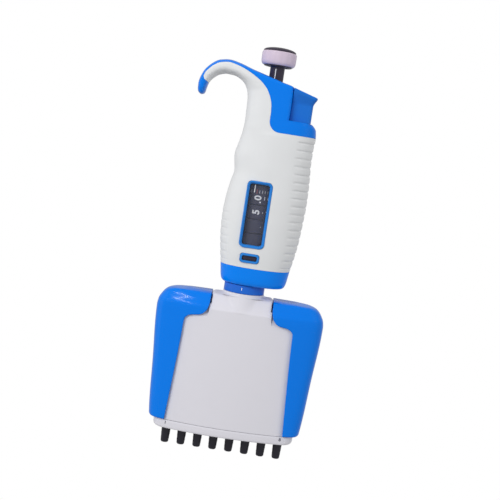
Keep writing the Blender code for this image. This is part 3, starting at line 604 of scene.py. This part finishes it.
def handle_cavity():
    """The hollow inside the handle, open at the bottom."""
    stations = [thinner(HANDLE[0], drop=5)] + [thinner(station) for station in HANDLE[:GRIP_STATIONS]]
    stations += [thinner(station, drop=WALL) for station in HANDLE[GRIP_STATIONS:HOLLOW_STATIONS]]
    return loft([oval(48, *station) for station in stations])


def cover_outline(inset=0.0):
    """The region in X and Z that the blue cover takes, drawn in for the joint line."""
    radius = COVER_CORNER_R
    corner = arc(COVER_CORNER[0] + radius, COVER_CORNER[1] + radius, radius - inset, 270, 180, 12)
    rise = curve_through([z for _, z in COVER_FLANK], [x for x, _ in COVER_FLANK])
    flank = [(rise(z) + inset, z) for z in [COVER_FLANK[0][1] + k for k in range(13)]]
    drop = curve_through([-x for x, _ in COVER_STRIP], [z for _, z in COVER_STRIP])
    strip = [(-x, drop(x) + inset) for x in spaced(-COVER_STRIP[0][0], -COVER_STRIP[-1][0], 24)[1:]]
    tip = [(x - inset, z) for x, z in COVER_TIP]
    outside = [(-FAR, 190.0), (-FAR, 240.0), (FAR, 240.0), (FAR, COVER_CORNER[1] + inset)]
    return corner + flank + strip + tip + outside


def laid_back(mesh, z):
    """A mesh made round the vertical, turned to point at the back, at a height."""
    mesh.transform(Matrix.Translation((0, 0, z * MM)) @ Matrix.Rotation(radians(-90), 4, "X"))
    return mesh


def make_back_screw(node):
    """A cross-head screw in the back. Returns the form of its hole."""
    low, high = limits(node)
    radius, top = (high.z - low.z) / 2, high.y
    head = [(0, top - 0.1), (radius * 0.75, top - 0.1), (radius, top - 0.5), (radius, top - 1.2),
            (radius * 0.55, top - 1.3), (radius * 0.55, low.y), (0, low.y)]
    slots = [rotated(block((-radius * 0.62, -0.28, top - 0.9), (radius * 0.62, 0.28, top + 1)), turn)
             for turn in (20, 110)]
    screw = laid_back(cut(turned(head, steps=48), *slots), middle_z(node))
    piece(node.replace("handle_", "back_"), screw, "handle", STEEL, "steel", node)
    return laid_back(rod(radius + 0.25, 6, 30), middle_z(node))


def make_handle():
    """White halves, blue cover, the stem's bush and the back's screws."""
    skin, cavity, stem_hole = handle_skin(), handle_cavity(), rod(STEM_HOLE_R, 190, 230)
    white = cut(skin, prism(cover_outline(), -FAR, FAR), cavity, stem_hole)
    openings = [prism(rounded(*shrunk(box, -SEAM), radius), -FAR, -2)
                for box, radius in ((WINDOW, 2.6), (SLOT, 1.6))]
    front = cut(white, block((-FAR, -SEAM / 2, 80), (FAR, FAR, 240)), *openings)
    piece("white_front_half", front, "handle", WHITE, "white_plastic", "handle_front_shell")
    screw_holes = [make_back_screw(node) for node in ("handle_screw_lower", "handle_screw_upper")]
    rear = cut(white, block((-FAR, -FAR, 80), (FAR, SEAM / 2, 240)), *screw_holes)
    piece("white_rear_half", rear, "handle", WHITE, "white_plastic", "handle_rear_shell")

    cover = boolean(skin, prism(cover_outline(SEAM), -FAR - 1, FAR + 1), "INTERSECT")
    well = beside_stem(BEHIND_STEM_X + 0.05, NECK_PALM_X + 0.35, NECK_HALF_Y + 0.4, 2.6)
    cover = cut(cover, cavity, stem_hole, loft([[(x, y, z) for x, y in well] for z in (170, 200)]))
    piece("blue_cover", cover, "handle", BLUE, "blue_plastic", "top_cover")

    low, high = limits("stem_bush")
    bush = turned(hoop(STEM_HOLE_R - SEAM, STEM_HOLE_R - 2.1, low.z, high.z, 0.3))
    piece("bush_round_stem", bush, "handle", NECK_BLUE, "deep_blue", "stem_bush")


def make_collar():
    """Blue collar with a rounded lower edge."""
    low, high = limits("bottom_collar")
    ends = ((-13.7, HANDLE[0][0]), (22.0, high.x), (14.0, high.y))
    finger, palm, deep = [curve_through([low.z, high.z], pair) for pair in ends]
    edge = [(0.0, 1.9), (0.15, 1.35), (0.5, 0.85), (1.1, 0.45), (2.0, 0.18), (3.2, 0.03), (4.5, 0.0)]
    side = low.z + edge[-1][0]
    heights = [(low.z + rise, draw) for rise, draw in edge]
    heights += [(z, 0.0) for z in spaced(side, high.z, 8)[1:-1]]
    heights.append((high.z + GAP - SEAM, 0.0))
    rings = [oval(128, finger(z) + draw, palm(z) - draw, z, z, deep(z) - draw, HANDLE[0][5])
             for z, draw in heights]
    hollow = [[(x * 0.86 + 0.6, y * 0.86, z) for x, y, _ in rings[8]] for z in (low.z + 1.0, high.z + 3)]
    collar = cut(loft(rings), loft(hollow), rod(NECK_HOLE_R, low.z - 5, low.z + 5))
    piece("blue_collar", collar, "handle", COLLAR_LIT_BLUE, "blue_plastic", "bottom_collar")


def make_frame(name, node, box, width, radius, face):
    """A moulded frame. Its face goes from the outside in, as (distance out, depth)."""
    front, back = [corner.y for corner in limits(node)]
    profile = [(width, back)] + [(out, front + deep) for out, deep in face] + [(0.0, back)]
    paths = []
    for out, y in profile:
        outline = rounded(*shrunk(box, width - out), radius + out, steps=10)
        paths.append([(x, y, z) for x, z in outline])
    piece(name, loft(list(zip(*paths)), closed=True), "handle", FRAME_BLUE, "deep_blue", node)


def make_window():
    """Window frame, its clear lens with a painted highlight, and the small slot frame with its plug."""
    make_frame("display_frame", "window_frame", WINDOW, WINDOW_RIM, 1.3,
               [(1.5, 0.5), (1.42, 0.2), (1.25, 0.04), (1.0, 0.0), (0.8, 0.05), (0.72, 0.25),
                (0.66, 0.5), (0.5, 0.56), (0.25, 0.75), (0.0, 1.1)])
    low, high = limits("window_lens")
    pane = plate(shrunk(WINDOW, WINDOW_RIM + SEAM), 1.1,
                 [(low.y, 0.25), (low.y + 0.12, 0.05), (low.y + 0.3, 0.0), (high.y, 0.0)])
    piece("display_lens", pane, "handle", LENS, "lens_clear", "window_lens")
    # painted highlight: a thin white strip on the lens's face stands in for its reflection
    x0, x1, z0, z1 = LENS_HIGHLIGHT_STRIP
    line = block((x0, low.y - 0.05, z0), (x1, low.y + 0.05, z1))
    piece("lens_painted_highlight", line, "handle", PRINT_WHITE, "lens_clear")
    make_frame("slot_surround", "slot_frame", SLOT, SLOT_RIM, 0.7,
               [(1.3, 0.5), (1.18, 0.2), (0.9, 0.03), (0.45, 0.0), (0.15, 0.1), (0.0, 0.35)])
    low, high = limits("calibration_plug")
    plug = plate(shrunk(SLOT, SLOT_RIM + SEAM), 0.6,
                 [(low.y, 0.3), (low.y + 0.15, 0.08), (low.y + 0.35, 0.0), (high.y, 0.0)])
    for shift in (-0.45, 0.45):
        z = middle_z("calibration_plug") + shift
        plug = cut(plug, block((low.x + 1.2, low.y - 1, z - 0.12), (high.x - 1.2, low.y + 0.25, z + 0.12)))
    piece("slot_plug", plug, "handle", DARK, "dark_plastic", "calibration_plug")


# --- counter ---
def on_drum(bm, z, angle, radius):
    """Wraps a flat number or mark onto a drum, to be read upwards."""
    ys = [v.co.y for v in bm.verts]
    strips = int((max(ys) - min(ys)) / 0.5)
    for k in range(1, strips + 1):
        bmesh.ops.bisect_plane(bm, geom=bm.verts[:] + bm.edges[:] + bm.faces[:], dist=0.0001,
                               plane_co=(0, min(ys) + 0.5 * k, 0), plane_no=(0, 1, 0))
    for vert in bm.verts:
        across, up, proud = vert.co
        turn = angle - up / radius
        reach = radius + proud
        vert.co = (reach * cos(turn), reach * sin(turn), z + across)
    return to_mesh(bm)


def make_drum(node, rest_digit, digits, middle, half_mark):
    """A counter drum with its digits and the small marks between them."""
    low, high = limits(node)
    drum = turned(hoop(high.x, DRUM_BORE_R, low.z, high.z, 0.35), steps=120)
    piece(node + "_body", drum, node, DRUM, "drum_dark", node)
    prints = []
    for digit in digits:
        angle = FRONT - DIGIT_STEP * (digit - rest_digit)
        prints.append(on_drum(glyph(str(digit), 3.9), middle, angle, high.x))
    for k in range(0, 10, 2):
        angle = FRONT + DIGIT_STEP * (k + 0.5)
        prints.append(on_drum(cuboid((half_mark, 0.35, PRINT)), middle, angle, high.x))
    piece(node + "_digits", joined(prints), node, PRINT_WHITE, "drum_dark", sharp=60)


def make_counter():
    """Three drums, the lowest one's fine scale, and the ring that they stand on."""
    make_drum("drum_tens", 0, [1], middle_z("drum_tens"), 0.35)
    make_drum("drum_units", 5, range(10), middle_z("drum_units"), 0.7)
    make_drum("drum_tenths", 0, range(10), TENTHS_Z, 1.9)
    low, high = limits("drum_tenths")
    marks = []
    for k in range(50):
        length = 1.6 if k % 5 else 2.4
        angle = FRONT + DIGIT_STEP / 5 * k - 0.08
        marks.append(on_drum(cuboid((length, 0.2, PRINT)), high.z - 3.3, angle, high.x))
    for digit in range(10):
        angle = FRONT + DIGIT_STEP * digit + 0.13
        marks.append(on_drum(cuboid((0.75, 0.75, PRINT)), low.z + 1.4, angle, high.x))
    zero, *scale = marks
    piece("drum_tenths_scale", joined(scale), "drum_tenths", PRINT_WHITE, "drum_dark", sharp=60)
    piece("drum_tenths_zero", zero, "drum_tenths", PRINT_RED, "drum_dark", sharp=60)
    low, high = limits("drum_retainer")
    foot = turned(hoop(high.x, DRUM_BORE_R, low.z, high.z, 0.35))
    piece("drum_foot", foot, "handle", DRUM, "drum_dark", "drum_retainer")


# --- plunger button ---
def make_button():
    """Domed cap in a fluted ring."""
    low, high = limits("button_ring")
    radius, bore = high.x, high.x - BUTTON_RIM

    def swell(angle, z):
        upper = 1 - smoothstep(high.z - 1.1, high.z - 0.3, z)
        depth = 0.014 * smoothstep(low.z + 0.3, low.z + 1.6, z) * upper
        return 1 - depth * abs(sin(angle * FLUTES / 2)) ** 4

    upper_edge = [(1.1, 0.0), (0.5, 0.08), (0.15, 0.4), (0.0, 0.95)]
    lower_edge = [(0.0, 2.2), (0.12, 1.5), (0.4, 0.8), (0.9, 0.2), (1.3, 0.0)]
    profile = [(radius - draw, high.z - drop) for draw, drop in upper_edge]
    profile += [(radius - draw, low.z + rise) for draw, rise in lower_edge]
    profile += [(bore, low.z), (bore, high.z - 0.3), (radius - 1.3, high.z)]
    piece("fluted_ring", turned(profile, steps=208, swell=swell), "knob", RING, "pink_ring", "button_ring")

    top = limits("button_cap")[1].z
    edge_r, edge_z = radius - 0.55, high.z + 0.3
    dome = [(edge_r * sin(a), edge_z + (top - edge_z) * cos(a)) for a in spaced(0, pi / 2, 16)[1:-1]]
    cap = [(0, top), *dome, (edge_r, edge_z), (edge_r - 0.05, edge_z - 0.2), (edge_r - 1.0, high.z - 0.35),
           (bore - 0.1, high.z - 0.4), (bore - 0.1, high.z - 3), (0, high.z - 3)]
    piece("domed_cap", turned(cap), "knob", DARK, "dark_plastic", "button_cap")


def make_stem():
    """Stem with a flange in the button, three guide grooves and a fine white line painted on as a highlight.
    """
    low, high = limits("stem")
    bore = limits("button_ring")[1].x - BUTTON_RIM
    seat = high.z - 2.8
    profile = [(0, high.z), (5.4, high.z), (bore - 0.6, high.z - 0.5), (bore - 0.35, seat + 0.5),
               (bore - 0.4, seat + 0.12), (bore - 0.8, seat), (6.2, seat), (5.9, seat + 0.35),
               (5.2, seat + 0.4), (STEM_R + 0.45, seat + 0.35), (STEM_R + 0.1, seat - 0.1),
               (STEM_R, seat - 0.6), (STEM_R, low.z + 0.4), (STEM_R - 0.4, low.z), (0, low.z)]
    grooves = [rotated(rod(0.42, low.z - 1, seat - 1.0, STEM_R + 0.12, sides=20), turn)
               for turn in (-100, 20, 140)]
    piece("plunger_stem", cut(turned(profile), *grooves), "knob", DARK, "dark_plastic", "stem")
    # painted highlight: a fine white rod in a groove stands in for the light caught down the stem
    line = rotated(rod(0.24, low.z + 2, seat - 1.2, STEM_R - 0.12, sides=16), -102)
    piece("stem_painted_highlight", line, "knob", PRINT_WHITE, "white_plastic")


# --- tip ejector button ---
def make_ejector_button():
    """Recessed neck that flares into a sloped thumb pad."""
    low, high = limits("ejector_button")
    near = BEHIND_STEM_X + 1.5 * SEAM
    neck_x, neck_y, bottom = NECK_PALM_X, NECK_HALF_Y, NECK_BOTTOM_Z
    stations = [  # height on the palm side, palm x, half depth, extra height next to the stem
        (bottom, neck_x, neck_y, 0.0), (190.0, neck_x, neck_y, 0.0), (195.9, neck_x, neck_y, 0.0),
        (196.6, neck_x + 0.1, neck_y + 0.2, 0.3), (197.8, neck_x + 0.6, neck_y + 1.1, 1.6),
        (199.1, neck_x + 1.4, high.y - 0.35, 3.0), (199.7, high.x - 0.05, high.y - 0.05, 3.6),
        (200.1, high.x, high.y, 3.8), (200.5, high.x - 0.2, high.y - 0.2, 3.8),
        (high.z - 3.8, high.x - 0.8, high.y - 0.8, 3.8),
    ]
    curves = [curve_through(range(len(stations)), column) for column in zip(*stations)]
    rings = []
    for place in spaced(0, len(stations) - 1, 70):
        z, palm_x, half_y, rise = [curve(place) for curve in curves]
        ring = beside_stem(near, palm_x, half_y, 2.2, sharp=0.3)
        rings.append([(x, y, z + rise * (palm_x - x) / (palm_x - near)) for x, y in ring])
    boss = rod(3.6, low.z, bottom + 3, EJECTOR_X, sides=48)
    button = boolean(loft(rings), boss, "UNION")
    piece("thumb_ejector", button, "ejector", EJECTOR_SHADED_BLUE, "blue_plastic", "ejector_button")


# --- manifold ---
COVERED_Z = [LEAN_START, 79.6, 82.1, HOUSING_TOP]
COVERED_LEAN = curve_through(COVERED_Z, [1.0, 0.86, 0.72, 0.62])
COVERED_DRAW = curve_through(COVERED_Z, [0.0, 0.8, 3.4, 6.5])
BLOCK_DEPTH = curve_through([SLOPE_Z, SHOULDER_Z - 1.3, SHOULDER_Z - 0.6, SHOULDER_Z - 0.2, SHOULDER_Z],
                            [0.0, 3.7, 4.3, 5.0, 5.6])
WING_EDGE_X = curve_through([z for _, z in WING_EDGE], [x for x, _ in WING_EDGE])


def panel_depth(x):
    """Half depth of the crowned faces."""
    return PANEL_DEPTH - PANEL_CROWN * x * x


def panel_ring(reach, z, lean=1.0, draw=0.0, points=96):
    """One level of a form with the manifold's crowned face at its front and back."""
    ring = []
    for c, s in around(points):
        depth = (panel_depth(reach * c) * lean - draw) * side_round(c)
        ring.append((reach * c, copysign(depth, s), z))
    return ring


def housing_half_x(z):
    return HOUSING_HALF + HOUSING_FLARE * (z - HOUSING_Z) / (SLOPE_Z - HOUSING_Z)


def block_half_x(z):
    """Half width of the raised block, which the wings slide down past."""
    return min(WING_EDGE_X(z + EJECTOR_TRAVEL) - 0.12, BLOCK_X + 2)


def half_width(z):
    """Half width of the housing: under the wings, then the block, then the neck."""
    if z <= HOUSING_TOP:
        return housing_half_x(min(z, LEAN_START)) - COVERED_DRAW(z)
    if z <= SHOULDER_Z:
        return BLOCK_X - 0.9 * smoothstep(SHOULDER_Z - 1.0, SHOULDER_Z, z) ** 2
    flare = max(1 - (z - SHOULDER_Z) / FILLET_HEIGHT, 0.0) ** 3
    return NECK_ROOT_R[1] + (BLOCK_X - 1.2 - NECK_ROOT_R[1]) * flare


def front_depth(x, z):
    """How far the housing's face stands from the middle plane at a point."""
    if LEAN_START < z <= HOUSING_TOP and abs(x) > block_half_x(z):
        return panel_depth(x) * COVERED_LEAN(z)
    face = panel_depth(x) - BLOCK_DEPTH(z)
    if z <= SLOPE_Z - 4:
        return face
    rise = min(max((z - SLOPE_Z) / (NECK_Z[0] - SLOPE_Z), 0.0), 1.0)
    radius = NECK_ROOT_R[0] + (NECK_ROOT_R[1] - NECK_ROOT_R[0]) * rise
    if z > SHOULDER_Z:
        return radius * sqrt(max(1 - (x / half_width(z)) ** 2, 0.0))
    radius -= 0.9 * max(SLOPE_Z - z, 0.0)
    return smooth_max(face, sqrt(max(radius * radius - x * x, 0.0)), 0.7)


def half_section(z, side):
    """One level of a housing half: its crowned face, closed along the middle plane."""
    reach = half_width(z)
    between_wings = HOUSING_TOP < z <= SHOULDER_Z
    inner = reach - BLOCK_EDGE if between_wings else min(block_half_x(z), reach * 0.96)
    start = inner + 0.08
    right = spaced(0.0, inner, FACE_COLUMNS)
    right += [start + (reach - start) * sin(a) for a in spaced(0, pi / 2, SIDE_COLUMNS)]
    ring = []
    for x in [-x for x in reversed(right)] + right[1:]:
        depth = front_depth(x, z) * side_round(x / reach, 90 if between_wings else 24)
        if between_wings and abs(x) > inner:
            depth = BLOCK_EDGE_DEPTH * (reach - abs(x)) / BLOCK_EDGE
        ring.append((x, side * max(depth, SEAM / 2), z))
    return ring


def housing_levels():
    """Levels of the housing, closer together where its faces lean."""
    levels = [HOUSING_Z + 0.12, HOUSING_Z + 0.9] + [HOUSING_Z + 2.0 * k for k in range(1, 30)]
    levels += [75.0 + 0.3 * k for k in range(int((SHOULDER_Z - 75.0) / 0.3) + 1)]
    levels += [SHOULDER_Z + 0.1 * k for k in range(19)]
    return sorted({*levels, HOUSING_TOP, HOUSING_TOP + 0.01, NECK_Z[0] - 0.1})


def covered_body(wall, bottom, lift=0.0):
    """The housing's form under the wings, drawn in by a wall, or out by one below zero."""
    rings = [panel_ring(housing_half_x(bottom) - wall, bottom, 1.0, wall)]
    for share in spaced(0, 1, 12):
        z = LEAN_START + (HOUSING_TOP - LEAN_START) * share
        reach = housing_half_x(LEAN_START) - COVERED_DRAW(z) - wall
        rings.append(panel_ring(reach, z + lift - wall * share, COVERED_LEAN(z), wall))
    return loft(rings)


def make_housing():
    """Two white halves, with sloped shoulders and the round root of the neck."""
    slot_low, slot_high, inner = YOKE_Z[0] - EJECTOR_TRAVEL - GAP, YOKE_Z[1] + GAP, BLOCK_X + GAP
    tools = [covered_body(1.8, HOUSING_Z - 4), rod(NECK_R - 0.5, 78, 100)]
    tools += [block((x0, -4.4, slot_low), (x1, 4.4, slot_high)) for x0, x1 in ((-FAR, -inner), (inner, FAR))]
    for face, side in (("front", -1), ("rear", 1)):
        shell = cut(loft([half_section(z, side) for z in housing_levels()]), *tools)
        piece(f"panel_{face}", shell, "manifold", PANEL, "panel_white", f"manifold_{face}_shell", sharp=38)


def make_neck_ring():
    """Swivel ring with rounded rims and a small index mark."""
    low, high = NECK_Z
    inner_low, inner_high = [corner.z for corner in limits("neck_ring")]
    profile = [(NECK_R - 0.35, high), (NECK_R - 0.08, high - 0.1), (NECK_R, high - 0.4),
               (NECK_R, low + 0.4), (NECK_R - 0.08, low + 0.1), (NECK_R - 0.35, low), (10.3, low),
               (10.3, inner_low), (9.3, inner_low), (9.3, inner_high), (10.2, inner_high), (10.2, high)]
    piece("swivel_ring", turned(profile, steps=120), "manifold", NECK_BLUE, "deep_blue", "neck_ring")
    tick = on_drum(cuboid((1.5, 0.35, 0.1)), low + 2.6, radians(-96.4), NECK_R)
    piece("swivel_index", tick, "manifold", PRINT_WHITE, "white_plastic", sharp=60)


def make_cones():
    """Tip cones with two fine sealing ribs and a rounded nose."""
    root_r, end_r, bore, top = 2.72, 2.22, 0.7, limits("tip_cone_1")[1].z
    profile = [(bore, 0.25), (bore + 0.15, 0.0), (end_r - 0.75, 0.0), (end_r - 0.4, 0.1), (end_r - 0.2, 0.35)]
    for z in spaced(0.75, 9.6, 40):
        rib = sum(0.06 * max(1 - ((z - seat) / 0.45) ** 2, 0.0) for seat in (2.6, 5.0))
        profile.append((end_r + (root_r - end_r) * z / 10.0 - 0.08 + rib, z))
    profile += [(root_r - 0.08, 10.2), (2.4, 10.6), (2.4, 15.1), (1.9, 15.2), (1.9, top), (bore, top)]
    for channel, x in enumerate(CONE_PLACES, start=1):
        cone = turned(profile, x, steps=48)
        piece(f"nozzle_{channel}", cone, "manifold", CONE, "cone_black", f"tip_cone_{channel}")


# --- ejector frame ---
def edge_distance(x, z, edge):
    """Distance from a point to the wing's inner edge."""
    point = Vector((x, z))
    nearest = FAR
    for a, b in zip(edge, edge[1:]):
        along = b - a
        share = min(max((point - a).dot(along) / along.length_squared, 0.0), 1.0)
        nearest = min(nearest, (point - a - along * share).length)
    return nearest


def wing_form():
    """Rings of the right-hand wing as a solid, before it is hollowed."""
    zs, widths, leans = zip(*WING_LEVELS)
    width, lean = curve_through(zs, widths), curve_through(zs, leans)
    fine_edge = [Vector((WING_EDGE_X(z), z)) for z in spaced(WING_EDGE[0][1], WING_EDGE[-1][1], 260)]
    levels = [zs[0] + d for d in (0.0, 0.12, 0.35, 0.7, 1.1)] + [18.0 + 2.0 * k for k in range(26)]
    levels += [69.0 + 0.5 * k for k in range(9)] + [73.5 + 0.22 * k for k in range(34)]
    levels += [81.0 + 0.4 * k for k in range(14)]
    levels += [86.6, 86.9, 87.2, 87.5, 87.7, 87.9, 88.05, 88.17, 88.25, 88.3]
    inner_count, outer_count, round_r = 16, 26, 0.75
    rings = []
    for z in levels:
        start, reach = WING_EDGE_X(z), width(z)
        bottom_round = max(zs[0] + 0.9 - z, 0.0)
        columns = [start + 0.02 + 2.6 * (k / inner_count) ** 1.6 for k in range(inner_count)]
        near = columns[-1]
        columns += [near + (reach - near) * sin(a) for a in spaced(0, pi / 2, outer_count)[1:]]
        face = []
        for x in columns:
            gap = min(edge_distance(x, z, fine_edge), round_r) if x < start + 3.0 else round_r
            drop = round_r - sqrt(max(round_r ** 2 - (round_r - gap) ** 2, 0.0))
            core = x * (reach - WING_WALL) / reach
            depth = (panel_depth(core) * lean(z) + WING_WALL) * side_round(x / reach, 22)
            face.append((x, max(depth - 0.6 * drop - 0.5 * bottom_round ** 2, 0.0)))
        rings.append([(x, -y, z) for x, y in face] + [(x, y, z) for x, y in reversed(face[:-1])])
    return rings


def make_wings():
    """Blue ejector wings with rounded inner edges, hollow over the housing."""
    hollow = covered_body(-GAP, HOUSING_Z - 2, lift=EJECTOR_TRAVEL)
    rings = wing_form()
    for side, sign in (("left", -1), ("right", 1)):
        shape = cut(loft([[(sign * x, y, z) for x, y, z in ring] for ring in rings]), hollow)
        piece(f"{side}_wing", shape, "ejector_frame", BLUE, "blue_plastic", f"wing_{side}", sharp=42)


def make_bar():
    """White ejector bar with its holes and the outer channels' numbers."""
    low, high = limits("ejector_bar")
    reach = high.x + 1.0
    height = HOUSING_Z - 2 * SEAM - low.z
    levels = [  # height, how far the ends are drawn in, and how far the faces are
        (0.0, 1.9, 0.9), (0.1, 1.4, 0.5), (0.3, 0.9, 0.25), (0.6, 0.5, 0.1), (1.1, 0.2, 0.02),
        (1.8, 0.03, 0.0), (3.4, 0.0, 0.0), (height - 0.12, 0.0, 0.0), (height, 0.05, 0.06),
    ]
    bar = loft([panel_ring(reach - ends, low.z + rise, 1.0, faces, points=192)
                for rise, ends, faces in levels])
    bar = cut(bar, *[rod(2.8, 5, 20, x, sides=48) for x in CONE_PLACES])
    piece("lower_bar", bar, "ejector_frame", PANEL, "panel_white", "ejector_bar", sharp=38)
    numbers = []
    for text, x in (("1", -31.9), (str(CHANNELS), 31.9)):
        number = to_mesh(glyph(text, 1.9, 0.05))
        place = (x * MM, -(panel_depth(x) + 0.01) * MM, (high.z - 1.35) * MM)
        lean = Matrix.Rotation(atan(2 * PANEL_CROWN * x), 4, "Z")
        number.transform(Matrix.Translation(place) @ lean @ Matrix.Rotation(radians(90), 4, "X"))
        numbers.append(number)
    piece("channel_numbers", joined(numbers), "ejector_frame", PRINT_GREY, "dark_plastic", sharp=60)


# --- inside ---
def make_spring(node, wire, turns, joint=None):
    """A coil spring with closed end coils. A return spring gets a mesh of its own."""
    low, high = limits(node)
    centre, radius, length = (low + high) / 2, (high.x - low.x) / 2 - wire, high.z - low.z
    rings = []
    for share in spaced(0, 1, turns * 32):
        angle = 2 * pi * turns * share
        z = low.z + wire + (length - 2 * wire) * (share - sin(2 * pi * share) / 9)
        ring = []
        for c, s in around(12):
            reach = radius + wire * c
            ring.append((centre.x + reach * cos(angle), centre.y + reach * sin(angle), z + wire * s))
        rings.append(ring)
    spring = piece(node + "_coil", loft(rings), "handle", STEEL, "steel", node, sharp=60)
    if joint:
        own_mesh(spring)


def make_inside():
    """Springs, and materials for the CAD pieces that stay as they are."""
    make_spring("plunger_return_spring", 0.45, 7, "plunger_press")
    make_spring("ejector_return_spring", 0.45, 5, "ejector_press")
    make_spring("blowout_spring", 0.6, 3)
    finishes = {"steel": STEEL, "brass": BRASS, "grey_plastic": GREY, "seal_rubber": RUBBER,
                "white_plastic": WHITE, "dark_plastic": DARK}
    for part in frame["record"]["subparts"]:
        finish = finishes.get(part["material_slot"])
        if finish:
            for slot in frame["nodes"][part["node"]].material_slots:
                slot.material = finish


# --- light, backdrop and camera ---
def make_light():
    """An even white surround, a soft key from the upper left and a weaker fill."""
    world = bpy.data.worlds.new("surround")
    scene.world = world
    world.use_nodes = True
    tree = world.node_tree
    on_camera = add_node(tree, "LightPath").outputs["Is Camera Ray"]
    power = add_node(tree, "MapRange", Value=on_camera, To_Min=SURROUND, To_Max=1.0)
    feed(tree.nodes["Background"], Color=WHITE_LIGHT, Strength=power.outputs["Result"])
    for name, place, watts, width, height in LAMPS:
        light = bpy.data.lights.new(name, "AREA")
        light.shape = "RECTANGLE"
        light.energy, light.size, light.size_y = watts, width, height
        lamp = placed(name, light)
        lamp.location = place
        lamp.visible_glossy = name in MIRRORED
        lamp.rotation_euler = (Vector(LAMP_AIM) - Vector(place)).to_track_quat("-Z", "Y").to_euler()


def make_floor():
    """A plain white floor, as bright as the surround, which throws no light back."""
    mesh = bpy.data.meshes.new("floor")
    corners = [(x * FLOOR_HALF, y * FLOOR_HALF, FLOOR_Z) for x, y in ((-1, -1), (1, -1), (1, 1), (-1, 1))]
    mesh.from_pydata(corners, [], [range(4)])
    paint = bpy.data.materials.new("floor_white")
    paint.use_nodes = True
    tree = paint.node_tree
    tree.nodes.clear()
    glow = add_node(tree, "Emission", Color=WHITE_LIGHT)
    add_node(tree, "OutputMaterial", Surface=glow.outputs["Emission"])
    mesh.materials.append(paint)
    floor = placed("floor", mesh)
    floor.visible_diffuse = floor.visible_glossy = floor.visible_transmission = floor.visible_shadow = False


def make_camera():
    """A longish lens above the middle, tilted down, and rolled so that the object leans."""
    pitch = Matrix.Rotation(radians(90 - CAMERA_PITCH), 4, "X")
    roll = Matrix.Rotation(radians(CAMERA_ROLL), 4, "Z")
    data = bpy.data.cameras.new("camera")
    data.lens, data.sensor_width = CAMERA_LENS, 36.0
    data.clip_start, data.clip_end = 0.01, 20
    camera = placed("camera", data)
    camera.matrix_world = Matrix.Translation(CAMERA_PLACE) @ pitch @ roll
    scene.camera = camera


make_handle()
make_collar()
make_window()
make_counter()
make_button()
make_stem()
make_ejector_button()
make_housing()
make_neck_ring()
make_cones()
make_wings()
make_bar()
make_inside()
make_floor()
make_light()
make_camera()
scene.view_settings.view_transform = "Standard"
